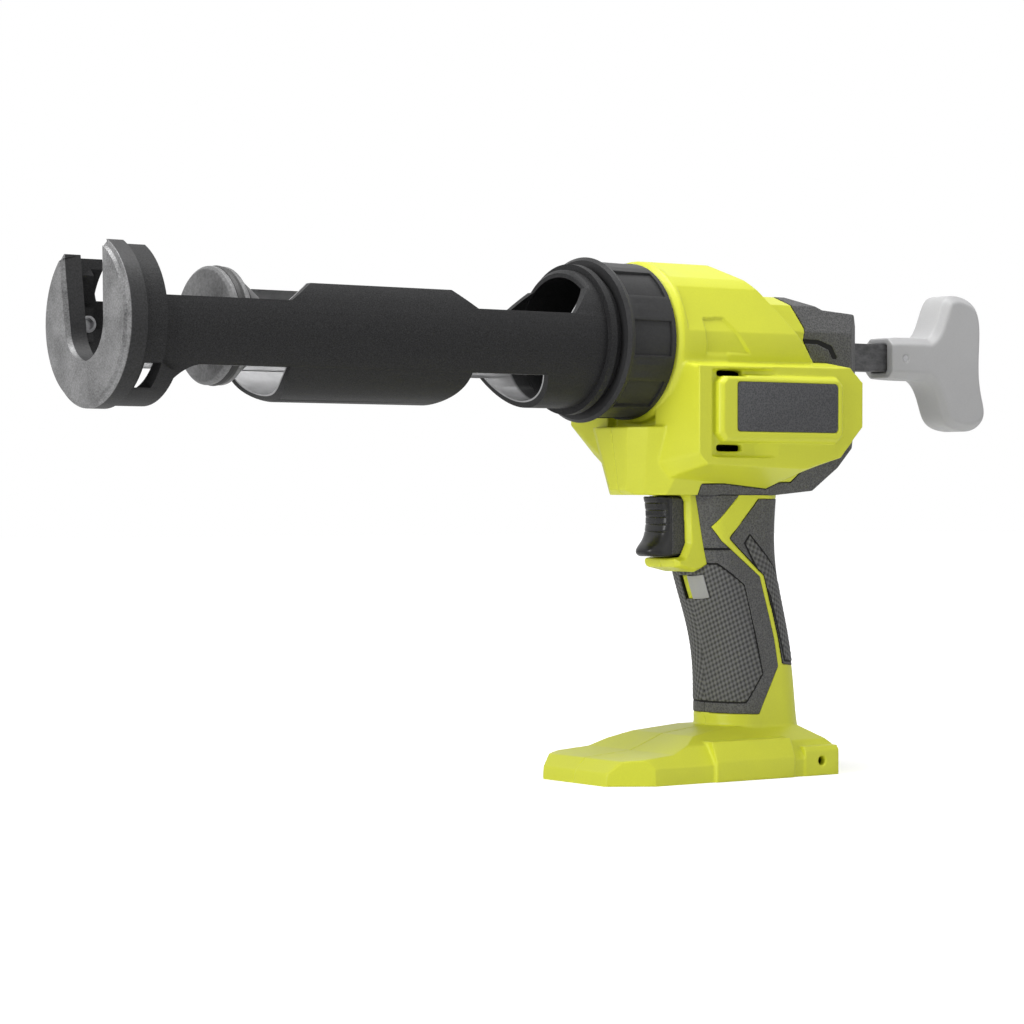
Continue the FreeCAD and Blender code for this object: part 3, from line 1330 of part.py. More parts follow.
turned_along_barrel("switch_plunger", [
    ("switch_front - trigger_travel / 2", "0"), ("switch_front - trigger_travel / 2", "plunger_radius"),
    ("trigger_rear + trigger_travel / 2", "plunger_radius"), ("trigger_rear + trigger_travel / 2", "0")],
    "trigger_bottom + trigger_height / 2")
turned_along_barrel("trigger_spring", [
    ("switch_front", "spring_radius - spring_wire"), ("switch_front", "spring_radius"),
    ("trigger_rear", "spring_radius"), ("trigger_rear", "spring_radius - spring_wire")],
    "trigger_bottom + trigger_height / 2")
switch_half = dim.switch_width / 2
switch = block(dim.switch_front - dim.switch_length, dim.switch_front, -switch_half, switch_half,
               dim.switch_bottom, dim.switch_bottom + dim.switch_height)
plunger_room = round_x(dim.plunger_radius + run, dim.switch_front - dim.switch_length / 2,
                       dim.switch_front + over, trigger_middle)
piece("trigger_switch", switch.cut(plunger_room))

# Lock button, with a stem through the deck and a foot that holds it from behind

cap_back = dim.button_recess - run
cap = leaning(0, cap_back, button_right, dim.button_left, dim.button_height).common(full_grip)
foot_front = deck_depth + run
foot_half = stem_half + dim.button_foot_margin
stem = leaning(cap_back, foot_front, stem_middle - stem_half, stem_middle + stem_half,
               dim.button_stem_height)
stem_foot = leaning(foot_front, foot_front + dim.button_foot, stem_middle - foot_half,
                    stem_middle + foot_half,
                    dim.button_stem_height + dim.button_foot_margin + dim.button_foot_margin)
piece("lock_button", fused([cap, stem]))
piece("lock_button_foot", stem_foot)

# Battery terminals and control board

padded("terminal_block", "XY_Plane",
       rectangle("terminal_x - terminal_length / 2", "terminal_x + terminal_length / 2",
                 "-terminal_width / 2", "terminal_width / 2"),
       "terminal_height", z_place="terminal_bottom + terminal_height / 2")
piece("battery_terminals", Part.makeCompound([
    block(dim.terminal_x - dim.blade_length / 2, dim.terminal_x + dim.blade_length / 2,
          middle - dim.blade_thickness / 2, middle + dim.blade_thickness / 2,
          dim.terminal_bottom - dim.blade_drop, dim.terminal_bottom)
    for middle in (-dim.blade_spacing, 0, dim.blade_spacing)]))
padded("control_board", "XY_Plane",
       rectangle("board_x - board_length / 2", "board_x + board_length / 2",
                 "-board_width / 2", "board_width / 2"),
       "board_thickness", z_place="board_height")

# Checks and files

doc.recompute()
faults = [item.Name for item in doc.Objects if {"Invalid", "Error"} & set(item.State)]
faults += [item.Label for item in pieces
           if item.Shape.isNull() or not item.Shape.isValid() or not item.Shape.Solids]
if faults:
    raise RuntimeError("These did not build: " + ", ".join(faults))
os.makedirs("parts", exist_ok=True)
for item in pieces:
    item.Shape.exportStep(f"parts/{item.Label}.step")
print(len(pieces), "sub-parts written")
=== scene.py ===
import json
import math

import bmesh
import bpy
from mathutils import Matrix, Vector
from mathutils.geometry import intersect_point_quad_2d


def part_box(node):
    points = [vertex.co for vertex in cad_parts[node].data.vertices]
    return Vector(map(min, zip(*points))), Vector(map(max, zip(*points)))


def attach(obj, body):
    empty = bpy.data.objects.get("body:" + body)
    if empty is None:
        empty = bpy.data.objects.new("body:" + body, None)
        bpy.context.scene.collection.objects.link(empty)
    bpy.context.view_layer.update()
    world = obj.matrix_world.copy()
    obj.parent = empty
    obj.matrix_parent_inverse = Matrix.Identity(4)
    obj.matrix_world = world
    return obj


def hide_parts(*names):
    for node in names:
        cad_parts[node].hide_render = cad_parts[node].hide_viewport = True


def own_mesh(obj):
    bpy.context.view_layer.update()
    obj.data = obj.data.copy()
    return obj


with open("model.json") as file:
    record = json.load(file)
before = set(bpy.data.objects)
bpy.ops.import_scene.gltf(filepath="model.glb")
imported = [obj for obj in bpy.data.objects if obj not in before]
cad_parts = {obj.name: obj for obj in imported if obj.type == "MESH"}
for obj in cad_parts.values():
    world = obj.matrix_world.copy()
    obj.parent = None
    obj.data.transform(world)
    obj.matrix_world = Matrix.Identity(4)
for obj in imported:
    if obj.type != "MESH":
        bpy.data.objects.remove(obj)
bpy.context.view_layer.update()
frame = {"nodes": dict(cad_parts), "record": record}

nodes = frame["nodes"]
bodyOf = {node: body for body, members in frame["record"]["behaviour"]["bodies"].items() for node in members}
slotOf = {row["node"]: row["material_slot"] for row in frame["record"]["subparts"]}
mm = 0.001
barrelZ = 183.0
sides = {"left": 1, "right": -1}


# Material helpers: every finish reads Object coordinates, in metres

def startFinish(name):
    finish = bpy.data.materials.new(name)
    finish.use_nodes = True
    return finish, finish.node_tree, finish.node_tree.nodes["Principled BSDF"]


def put(tree, kind, **settings):
    node = tree.nodes.new(kind)
    for key, value in settings.items():
        setattr(node, key, value)
    return node


def wire(tree, source, target):
    tree.links.new(source, target)


def objectPlace(tree):
    return put(tree, "ShaderNodeTexCoord").outputs["Object"]


def noise(tree, place, scale, detail=2.0, roughness=0.5):
    node = put(tree, "ShaderNodeTexNoise")
    node.inputs["Scale"].default_value = scale
    node.inputs["Detail"].default_value = detail
    node.inputs["Roughness"].default_value = roughness
    wire(tree, place, node.inputs["Vector"])
    return node.outputs["Fac"]


def cells(tree, place, scale, feature="F1"):
    node = put(tree, "ShaderNodeTexVoronoi", feature=feature)
    node.inputs["Scale"].default_value = scale
    wire(tree, place, node.inputs["Vector"])
    return node.outputs["Distance"]


def sums(tree, kind, first, second=None, clamp=False):
    node = put(tree, "ShaderNodeMath", operation=kind, use_clamp=clamp)
    for socket, value in zip(node.inputs, (first, second)):
        if value is None:
            continue
        if isinstance(value, (int, float)):
            socket.default_value = value
        else:
            wire(tree, value, socket)
    return node.outputs[0]


def spread(tree, value, low, high, outLow=0.0, outHigh=1.0):
    node = put(tree, "ShaderNodeMapRange")
    for key, number in (("From Min", low), ("From Max", high), ("To Min", outLow), ("To Max", outHigh)):
        node.inputs[key].default_value = number
    wire(tree, value, node.inputs["Value"])
    return node.outputs["Result"]


def ramp(tree, value, stops):
    node = put(tree, "ShaderNodeValToRGB")
    band = node.color_ramp.elements
    while len(band) < len(stops):
        band.new(0.5)
    for element, (place, colour) in zip(band, stops):
        element.position = place
        element.color = (*colour, 1)
    wire(tree, value, node.inputs["Fac"])
    return node.outputs["Color"]


def mixed(tree, share, first, second):
    node = put(tree, "ShaderNodeMix", data_type="RGBA")
    wire(tree, share, node.inputs["Factor"])
    for socket, value in ((node.inputs[6], first), (node.inputs[7], second)):
        if isinstance(value, tuple):
            socket.default_value = (*value, 1)
        else:
            wire(tree, value, socket)
    return node.outputs[2]


def raised(tree, height, depth, strength=1.0):
    bump = put(tree, "ShaderNodeBump")
    bump.inputs["Strength"].default_value = strength
    bump.inputs["Distance"].default_value = depth
    wire(tree, height, bump.inputs["Height"])
    return bump.outputs["Normal"]


def tones(base, share):
    return tuple(c * (1 - share) for c in base), tuple(min(1.0, c * (1 + share)) for c in base)


# Moulded plastic: an even colour, a fine spark texture and a slow drift in tone and gloss

def mouldedPlastic(name, colour, rough, grainScale=1600, grainDepth=0.00006, drift=0.05, shine=0.5):
    finish, tree, shader = startFinish(name)
    place = objectPlace(tree)
    low, high = tones(colour, drift)
    slow = noise(tree, place, 38, 3)
    fine = noise(tree, place, grainScale, 3, 0.6)
    tone = sums(tree, "ADD", sums(tree, "MULTIPLY", slow, 0.55), sums(tree, "MULTIPLY", fine, 0.45))
    wire(tree, ramp(tree, tone, [(0.3, low), (0.7, high)]), shader.inputs["Base Color"])
    wire(tree, spread(tree, slow, 0.3, 0.7, rough - 0.05, rough + 0.06), shader.inputs["Roughness"])
    wire(tree, raised(tree, fine, grainDepth, 0.6), shader.inputs["Normal"])
    shader.inputs["Specular IOR Level"].default_value = shine
    return finish


# Soft overmould: pebbled grain with a random speckle, and painted shade in its hollows

def grainyRubber(name, colour, contrast=0.4):
    finish, tree, shader = startFinish(name)
    place = objectPlace(tree)
    pebbles = cells(tree, place, 1300)
    speckle = noise(tree, place, 2200, 2, 0.6)
    height = sums(tree, "ADD", sums(tree, "MULTIPLY", pebbles, 0.7), sums(tree, "MULTIPLY", speckle, 0.6))
    # the colour follows the bump height: painted shade in the pebbles' hollows, with a random speckle
    low, high = tones(colour, contrast)
    wire(tree, ramp(tree, height, [(0.35, low), (0.85, high)]), shader.inputs["Base Color"])
    wire(tree, spread(tree, speckle, 0.3, 0.7, 0.55, 0.72), shader.inputs["Roughness"])
    wire(tree, raised(tree, height, 0.00025, 0.9), shader.inputs["Normal"])
    shader.inputs["Specular IOR Level"].default_value = 0.25
    return finish


# Woven grip pads: geometry carries the knurl, the finish paints shade into its hollows and adds a fine speckle

weave = {"pitch": (3.4, 2.8), "skew": 0.5, "lean": 0.35, "height": 0.3}


def knurledRubber(name, colour, facing):
    finish, tree, shader = startFinish(name)
    place = objectPlace(tree)
    parts = put(tree, "ShaderNodeSeparateXYZ")
    wire(tree, place, parts.inputs[0])
    forward = sums(tree, "SUBTRACT", sums(tree, "MULTIPLY", parts.outputs["X"], facing),
                   sums(tree, "ABSOLUTE", parts.outputs["Y"]))
    along = sums(tree, "ADD", forward, sums(tree, "MULTIPLY", parts.outputs["Z"], weave["skew"]))
    across = sums(tree, "SUBTRACT", parts.outputs["Z"], sums(tree, "MULTIPLY", along, weave["lean"]))
    turns = [2 * math.pi / (pitch * mm) for pitch in weave["pitch"]]
    waves = [sums(tree, "SINE", sums(tree, "MULTIPLY", way, turn))
             for way, turn in zip((along, across), turns)]
    height = sums(tree, "MULTIPLY", *waves)
    speckle = noise(tree, place, 3000, 2, 0.6)
    low, high = tones(colour, 0.55)
    # tone: painted shade in the weave's hollows, plus a fine random speckle
    tone = sums(tree, "ADD", spread(tree, height, -1, 1, 0, 0.7), sums(tree, "MULTIPLY", speckle, 0.3))
    wire(tree, ramp(tree, tone, [(0.25, low), (0.75, high)]), shader.inputs["Base Color"])
    wire(tree, spread(tree, speckle, 0.3, 0.7, 0.46, 0.6), shader.inputs["Roughness"])
    wire(tree, raised(tree, speckle, 0.00008, 0.5), shader.inputs["Normal"])
    shader.inputs["Specular IOR Level"].default_value = 0.25
    return finish


# Textured coat outside the carriage, and a painted reflection of the bright surroundings along its inner faces:
# light grey, half metallic and glossier

def carriageCoat(name, coat, metalAndSheen, sheenRadius, sheenEnds):
    finish, tree, shader = startFinish(name)
    place = objectPlace(tree)
    parts = put(tree, "ShaderNodeSeparateXYZ")
    wire(tree, place, parts.inputs[0])
    up = sums(tree, "SUBTRACT", parts.outputs["Z"], barrelZ * mm)
    reach = sums(tree, "SQRT", sums(tree, "ADD", sums(tree, "MULTIPLY", up, up),
                                    sums(tree, "MULTIPLY", parts.outputs["Y"], parts.outputs["Y"])))
    blur = 0.002
    # ahead, behind and inner mask the painted reflection to the inner faces and fade it out near both ends
    ahead = spread(tree, parts.outputs["X"], sheenEnds[0] - blur, sheenEnds[0])
    behind = spread(tree, parts.outputs["X"], sheenEnds[1] + blur, sheenEnds[1])
    inner = sums(tree, "MULTIPLY", spread(tree, reach, sheenRadius + 0.00012, sheenRadius),
                 sums(tree, "MULTIPLY", ahead, behind))
    grain = noise(tree, place, 2400, 3, 0.65)
    blotch = noise(tree, place, 120, 3, 0.6)
    coatLow, coatHigh = tones(coat, 0.55)
    metalAndSheenLow, metalAndSheenHigh = tones(metalAndSheen, 0.16)
    coatTone = ramp(tree, grain, [(0.35, coatLow), (0.72, coatHigh)])
    metalAndSheenTone = ramp(tree, blotch, [(0.3, metalAndSheenLow), (0.7, metalAndSheenHigh)])
    wire(tree, mixed(tree, inner, coatTone, metalAndSheenTone), shader.inputs["Base Color"])
    wire(tree, spread(tree, inner, 0, 1, 0.52, 0.36), shader.inputs["Roughness"])
    wire(tree, sums(tree, "MULTIPLY", inner, 0.5), shader.inputs["Metallic"])
    wire(tree, raised(tree, grain, 0.00012, 0.7), shader.inputs["Normal"])
    shader.inputs["Specular IOR Level"].default_value = 0.18
    return finish


# Metals: drawn or cast grain, with scratches that follow one axis

def workedMetal(name, colour, rough, metallic=1.0, grain=900, stretchBy=(1, 1, 1), depth=0.00006,
                contrast=0.2):
    finish, tree, shader = startFinish(name)
    stretch = put(tree, "ShaderNodeMapping")
    stretch.inputs["Scale"].default_value = stretchBy
    wire(tree, objectPlace(tree), stretch.inputs["Vector"])
    lines = noise(tree, stretch.outputs["Vector"], grain, 4, 0.65)
    blotch = noise(tree, stretch.outputs["Vector"], grain / 14, 3, 0.6)
    tone = sums(tree, "ADD", sums(tree, "MULTIPLY", lines, 0.55), sums(tree, "MULTIPLY", blotch, 0.45))
    low, high = tones(colour, contrast)
    wire(tree, ramp(tree, tone, [(0.32, low), (0.68, high)]), shader.inputs["Base Color"])
    shader.inputs["Metallic"].default_value = metallic
    wire(tree, spread(tree, blotch, 0.3, 0.7, rough - 0.07, rough + 0.08), shader.inputs["Roughness"])
    wire(tree, raised(tree, lines, depth, 0.6), shader.inputs["Normal"])
    return finish


# Cast end plate: bare mottled metal on its front, dark coat behind it

def castPlate(name, metalAndSheen, coat, bareFrom):
    finish, tree, shader = startFinish(name)
    place = objectPlace(tree)
    parts = put(tree, "ShaderNodeSeparateXYZ")
    wire(tree, place, parts.inputs[0])
    front = spread(tree, parts.outputs["X"], bareFrom - 0.0003, bareFrom)
    blotch = noise(tree, place, 70, 5, 0.7)
    pits = noise(tree, place, 1300, 4, 0.75)
    tone = sums(tree, "ADD", sums(tree, "MULTIPLY", blotch, 0.45), sums(tree, "MULTIPLY", pits, 0.55))
    metalAndSheenLow, metalAndSheenHigh = tones(metalAndSheen, 0.55)
    coatLow, coatHigh = tones(coat, 0.5)
    metalAndSheenTone = ramp(tree, tone, [(0.36, metalAndSheenLow), (0.62, metalAndSheenHigh)])
    coatTone = ramp(tree, pits, [(0.35, coatLow), (0.7, coatHigh)])
    wire(tree, mixed(tree, front, coatTone, metalAndSheenTone), shader.inputs["Base Color"])
    wire(tree, spread(tree, front, 0, 1, 0.5, 0.42), shader.inputs["Roughness"])
    wire(tree, sums(tree, "MULTIPLY", front, 0.4), shader.inputs["Metallic"])
    wire(tree, raised(tree, tone, 0.00015, 0.7), shader.inputs["Normal"])
    shader.inputs["Specular IOR Level"].default_value = 0.3
    return finish


paints = {
    "housingYellow": (0.69, 0.722, 0.04),
    "overmouldGrey": (0.098, 0.098, 0.099),
    "padGrey": (0.105, 0.105, 0.106),
    "badgeGrey": (0.08, 0.081, 0.085),
    "collarBlack": (0.03, 0.03, 0.031),
    "triggerBlack": (0.014, 0.014, 0.015),
    "plateGrey": (0.062, 0.062, 0.063),
    "seamShadeBlack": (0.006, 0.006, 0.006),
    "handleGrey": (0.5, 0.5, 0.505),
    "lockGrey": (0.34, 0.34, 0.342),
    "coatBlack": (0.024, 0.024, 0.025),
    "paintedSheenGrey": (0.38, 0.38, 0.385),
    "castMetal": (0.2, 0.2, 0.202),
    "pistonGrey": (0.17, 0.17, 0.172),
}
# armRadius and armEnds bound the painted reflection inside the carriage arms; plateFrom is where the end plate's
# bare front begins
metalAndSheen = {"armRadius": 0.0262, "armEnds": (0.078, 0.26), "plateFrom": 0.2848}
finishes = {
    "housing": mouldedPlastic("YellowHousing", paints["housingYellow"], 0.42),
    "overmould": grainyRubber("GreyOvermould", paints["overmouldGrey"]),
    "gripPad": knurledRubber("KnurledGrip", paints["padGrey"], 1),
    "strapPad": knurledRubber("KnurledStrap", paints["padGrey"], -1),
    "lock": mouldedPlastic("LockPlastic", paints["lockGrey"], 0.4, 1400, 0.00004, 0.06),
    "plate": grainyRubber("TriggerPlate", paints["plateGrey"]),
    "badge": grainyRubber("BareBadge", paints["badgeGrey"]),
    "black_plastic": mouldedPlastic("BlackPlastic", paints["collarBlack"], 0.42, 900, 0.00004, 0.3, 0.2),
    "trigger_plastic": mouldedPlastic("TriggerPlastic", paints["triggerBlack"], 0.3, 900, 0.00003, 0.2, 0.35),
    "seam": mouldedPlastic("SeamShadow", paints["seamShadeBlack"], 0.6, 900, 0.00003, 0.1, 0.2),
    "grey_plastic": mouldedPlastic("GreyPlastic", paints["handleGrey"], 0.4, 1400, 0.00004, 0.06),
    # the carriage finish paints a light grey reflection on the inner faces of its arms
    "carriage_paint": carriageCoat("CarriageCoatPaintedSheen", paints["coatBlack"], paints["paintedSheenGrey"],
                                   metalAndSheen["armRadius"], metalAndSheen["armEnds"]),
    "end_plate_metal": castPlate("CastEndPlate", paints["castMetal"], paints["coatBlack"], metalAndSheen["plateFrom"]),
    "piston": workedMetal("MottledPiston", paints["pistonGrey"], 0.5, 0.1, 900, (1, 1, 1), 0.00012, 0.55),
    "screw_steel": workedMetal("ScrewSteel", (0.4, 0.4, 0.41), 0.32, 1, 1500),
    "rod_steel": workedMetal("RodSteel", (0.07, 0.07, 0.072), 0.45, 0.6, 500, (0.5, 1, 1), 0.00018, 0.85),
    "gear_steel": workedMetal("GearSteel", (0.36, 0.36, 0.37), 0.34, 1, 1200, (1, 0.1, 1)),
    "frame_steel": workedMetal("FrameSteel", (0.45, 0.46, 0.47), 0.36, 1, 900, (0.1, 1, 1)),
    "bronze": workedMetal("SinteredBronze", (0.5, 0.33, 0.13), 0.42, 1, 1800),
    "seal_rubber": mouldedPlastic("SealRubber", (0.02, 0.02, 0.02), 0.55, 900, 0.00004, 0.2),
    "white_plastic": mouldedPlastic("NaturalPlastic", (0.6, 0.6, 0.58), 0.45, 1200, 0.00003, 0.05),
    "board_green": mouldedPlastic("BoardGreen", (0.03, 0.13, 0.06), 0.35, 500, 0.00003, 0.3),
}
print("finishes made:", len(finishes))


# Mesh helpers

mergeDistance = 0.000002
flatAngle = math.radians(0.6)
smoothFactor = 0.5


def adopt(mesh, name, body, finishKey, stands=()):
    piece = bpy.data.objects.new(name, mesh)
    bpy.context.scene.collection.objects.link(piece)
    piece.data.materials.clear()
    piece.data.materials.append(finishes[finishKey])
    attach(piece, body)
    if stands:
        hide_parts(*stands)
    return piece


def toMesh(shape, name):
    mesh = bpy.data.meshes.new(name)
    shape.to_mesh(mesh)
    shape.free()
    return mesh


def smoothByAngle(mesh, degrees):
    for face in mesh.polygons:
        face.use_smooth = True
    mesh.set_sharp_from_angle(angle=math.radians(degrees))


def mergedCopy(node):
    shape = bmesh.new()
    shape.from_mesh(nodes[node].data)
    bmesh.ops.remove_doubles(shape, verts=shape.verts, dist=mergeDistance)
    return shape


def scratch(mesh):
    holder = bpy.data.objects.new(mesh.name, mesh)
    bpy.context.scene.collection.objects.link(holder)
    return holder


def baked(holder, name):
    seen = holder.evaluated_get(bpy.context.evaluated_depsgraph_get())
    mesh = bpy.data.meshes.new_from_object(seen)
    mesh.name = name
    return mesh


def discard(*holders):
    for holder in holders:
        mesh = holder.data
        bpy.data.objects.remove(holder)
        bpy.data.meshes.remove(mesh)


# A cutter that goes through a piece along Y; outlines are (x, z) in mm, anticlockwise

def prism(outlines, side):
    low, high = (-1, 80) if side > 0 else (-80, 1)
    shape = bmesh.new()
    for outline in outlines:
        ring = [shape.verts.new((x * mm, low * mm, z * mm)) for x, z in outline]
        wall = bmesh.ops.extrude_face_region(shape, geom=[shape.faces.new(ring)])
        far = [item for item in wall["geom"] if isinstance(item, bmesh.types.BMVert)]
        bmesh.ops.translate(shape, verts=far, vec=(0, (high - low) * mm, 0))
    bmesh.ops.recalc_face_normals(shape, faces=shape.faces)
    return shape


def grown(outline, by):
    moved = []
    for index, corner in enumerate(outline):
        here = Vector(corner)
        first = (here - Vector(outline[index - 1])).normalized()
        second = (Vector(outline[(index + 1) % len(outline)]) - here).normalized()
        outward = Vector((first.y + second.y, -first.x - second.x)) / (1 + first.dot(second))
        moved.append(tuple(here + outward * by))
    return moved


def relax(shape, verts, rounds):
    for turn in range(rounds):
        bmesh.ops.smooth_vert(shape, verts=verts, factor=smoothFactor, use_axis_x=True, use_axis_y=True,
                              use_axis_z=True)


def within(value, limits):
    return limits[0] < value < limits[1]


# A node's solid remade as an even skin: cut, remeshed, shaped, rounded by smoothing, then thinned

def remade(node, name, form, cut=None, keep=None, shaping=None, finishing=None):
    holder = scratch(toMesh(mergedCopy(node), name + "_raw"))
    tools = []
    for kind, cutter in (("DIFFERENCE", cut), ("INTERSECT", keep)):
        if cutter:
            tool = scratch(toMesh(cutter, name + "_tool"))
            step = holder.modifiers.new("cut", "BOOLEAN")
            step.operation, step.solver, step.object = kind, "EXACT", tool
            tools.append(tool)
    skin = holder.modifiers.new("skin", "REMESH")
    skin.mode, skin.voxel_size = "VOXEL", form["voxel"] * mm
    mesh = baked(holder, name)
    discard(holder, *tools)
    shape = bmesh.new()
    shape.from_mesh(mesh)
    bpy.data.meshes.remove(mesh)
    if shaping:
        shaping(shape)
    seam = form.get("seam", 0) * mm
    loose = [vert for vert in shape.verts if abs(vert.co.y) > seam] if seam else shape.verts[:]
    relax(shape, loose, form["rounds"])
    if "soft" in form:
        soft = form["soft"]
        loose = [vert for vert in shape.verts if within(vert.co.x / mm, soft["x"])
                 and within(abs(vert.co.y / mm), soft["y"]) and within(vert.co.z / mm, soft["z"])]
        relax(shape, loose, soft["rounds"])
    if finishing:
        finishing(shape)
    count = sum(len(face.verts) - 2 for face in shape.faces)
    mesh = toMesh(shape, name)
    if count > form["limit"]:
        holder = scratch(mesh)
        thin = holder.modifiers.new("thin", "DECIMATE")
        thin.ratio = form["limit"] / count
        mesh = baked(holder, name)
        discard(holder)
    for face in mesh.polygons:
        face.use_smooth = True
    print(name, "triangles:", count, "->", sum(len(face.vertices) - 2 for face in mesh.polygons))
    return mesh


# Outer faces are lifted and edges drawn in, so that the dark solid below shows as an outline

def lifted(form, away):
    def finishing(shape):
        shape.normal_update()
        moves = []
        for vert in shape.verts:
            facing = vert.normal.dot(away(vert.co).normalized())
            share = min(1.0, max(0.0, (facing - 0.1) / 0.3))
            moves.append(vert.normal * (form["lift"] * share - form["drawIn"] * (1 - share)) * mm)
        for vert, move in zip(shape.verts, moves):
            vert.co += move
    return finishing


# Every CAD node gets the finish of its slot

for name, node in nodes.items():
    node.data.materials.clear()
    node.data.materials.append(finishes[slotOf[name]])


# Housings: rounded moulding with a faceted drum

housing = {"voxel": 0.5, "rounds": 2, "seam": 0.4, "limit": 190000,
           "soft": {"x": (5, 40), "y": (24, 41), "z": (122, 178), "rounds": 16}}
drum = {
    "ends": (-46.0, 26.5), "skin": (31.8, 34.4), "facets": ((66.0, 32.2), (22.5, 32.5)),
    "recess": ((17.0, 192.6), (6.0, 192.9), (-6.5, 178.0), (16.6, 177.5)), "recessDepth": 1.0,
}


def drumPull(spot, tilt, reach, side):
    normal = Vector((0, side * math.sin(math.radians(tilt)), math.cos(math.radians(tilt))))
    over = (spot - Vector((spot.x, 0, barrelZ * mm))).dot(normal) - reach * mm
    return normal * max(0.0, over)


def facetDrum(side):
    corners = [Vector(corner) for corner in drum["recess"]]

    def shaping(shape):
        for vert in shape.verts:
            x, z = vert.co.x / mm, vert.co.z / mm
            radius = math.hypot(vert.co.y / mm, z - barrelZ)
            if not (drum["ends"][0] < x < drum["ends"][1] and drum["skin"][0] < radius < drum["skin"][1]):
                continue
            for tilt, reach in drum["facets"]:
                vert.co -= drumPull(vert.co, tilt, reach, side)
            if vert.co.y * side > 0 and intersect_point_quad_2d(Vector((x, z)), *corners):
                vert.co.y -= side * drum["recessDepth"] * mm
    return shaping


for label, side in sides.items():
    node = label + "_housing"
    shell = remade(node, node + "_shell", housing, shaping=facetDrum(side))
    adopt(shell, node + "_shell", bodyOf[node], "housing", stands=(node,))
print("housings done")


# Overmould: the dark solids stay as the seam, painted near-black as shade in its gap; a grey skin and knurled
# pads lie on them

cover = {"voxel": 0.3, "rounds": 3, "lift": 0.15, "drawIn": 0.25, "limit": 150000}
pad = {"voxel": 0.25, "rounds": 2, "lift": 0.1, "drawIn": 0.1, "limit": 190000, "gap": 0.35}
gripMiddle = -14.0
rearMiddle = Vector((-45.0, 0, 165.0)) * mm
gripPad = [(40, 90), (-4.7, 90), (-17.7, 81), (-27.7, 43), (-19.7, 31), (40, 32)]
strapPad = [(-18.3, 98.7), (-21.1, 102.1), (-35.7, 87.9), (-47, 74), (-48.8, 47.3), (-40.3, 48.4),
            (-32.3, 76), (-24.4, 88.9)]
gripLine = [(-16, 95.9), (16, 95.9), (16, 96.7), (-16, 96.7)]
rearGroove = [(-34, 183.8), (-34, 185.4), (-51.7, 185.2), (-59.4, 183), (-62.6, 177.5), (-60, 177.5),
              (-57.6, 181.4), (-51.3, 183.6)]


def fromGrip(spot):
    return Vector((spot.x - gripMiddle * mm, spot.y, 0))


def fromRear(spot):
    return spot - rearMiddle


def knurled(form, facing):
    lift = lifted(form, fromGrip)

    def finishing(shape):
        lift(shape)
        shape.normal_update()
        moves = []
        for vert in shape.verts:
            along = (facing * vert.co.x - abs(vert.co.y)) / mm + weave["skew"] * vert.co.z / mm
            wave = math.sin(2 * math.pi * along / weave["pitch"][0])
            wave *= math.sin(2 * math.pi * (vert.co.z / mm - weave["lean"] * along) / weave["pitch"][1])
            outer = vert.normal.dot(fromGrip(vert.co).normalized()) > 0.35
            moves.append(vert.normal * ((wave + 1) / 2 * weave["height"] * mm) if outer else Vector())
        for vert, move in zip(shape.verts, moves):
            vert.co += move
    return finishing


covers = {
    "grip_cover": {"cuts": [grown(gripPad, pad["gap"]), gripLine], "away": fromGrip, "pad": gripPad,
                   "facing": 1, "finish": "gripPad"},
    "back_strap": {"cuts": [grown(strapPad, pad["gap"])], "away": fromGrip, "pad": strapPad, "facing": -1,
                   "finish": "strapPad"},
    "rear_cover": {"cuts": [rearGroove], "away": fromRear},
}
for label, side in sides.items():
    for kind, plan in covers.items():
        node = label + "_" + kind
        # the cover solid under the skin is painted near-black as shade in the seam's gap
        nodes[node].data.materials[0] = finishes["seam"]
        skin = remade(node, node + "_skin", cover, cut=prism(plan["cuts"], side),
                      finishing=lifted(cover, plan["away"]))
        adopt(skin, node + "_skin", bodyOf[node], "overmould")
        if "pad" in plan:
            rubber = remade(node, node + "_pad", pad, keep=prism([grown(plan["pad"], -pad["gap"])], side),
                            finishing=knurled(pad, plan["facing"]))
            adopt(rubber, node + "_pad", bodyOf[node], plan["finish"])
print("overmould done")


# Badge plates: round corners and a soft rim

badge = {"corner": 2.0, "rim": 0.3, "corners": 6, "rims": 2, "upright": 0.1, "near": 0.01}
for label, side in sides.items():
    node = label + "_badge_plate"
    low, high = (Vector(corner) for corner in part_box(node))
    shape = bmesh.new()
    bmesh.ops.create_cube(shape, size=1)
    bmesh.ops.scale(shape, verts=shape.verts, vec=high - low)
    bmesh.ops.translate(shape, verts=shape.verts, vec=(low + high) / 2)
    upright = [edge for edge in shape.edges
               if abs(edge.verts[0].co.y - edge.verts[1].co.y) > badge["upright"] * mm]
    bmesh.ops.bevel(shape, geom=upright, offset=badge["corner"] * mm, offset_type="OFFSET",
                    segments=badge["corners"], profile=0.5, affect="EDGES", material=-1)
    face = high.y if side > 0 else low.y
    rim = [edge for edge in shape.edges if all(abs(vert.co.y - face) < badge["near"] * mm for vert in edge.verts)]
    bmesh.ops.bevel(shape, geom=rim, offset=badge["rim"] * mm, offset_type="OFFSET", segments=badge["rims"],
                    profile=0.5, affect="EDGES", material=-1)
    plateMesh = toMesh(shape, node + "_round")
    smoothByAngle(plateMesh, 40)
    adopt(plateMesh, node + "_round", bodyOf[node], slotOf[node], stands=(node,))


# End plate screws: a round socket in each head

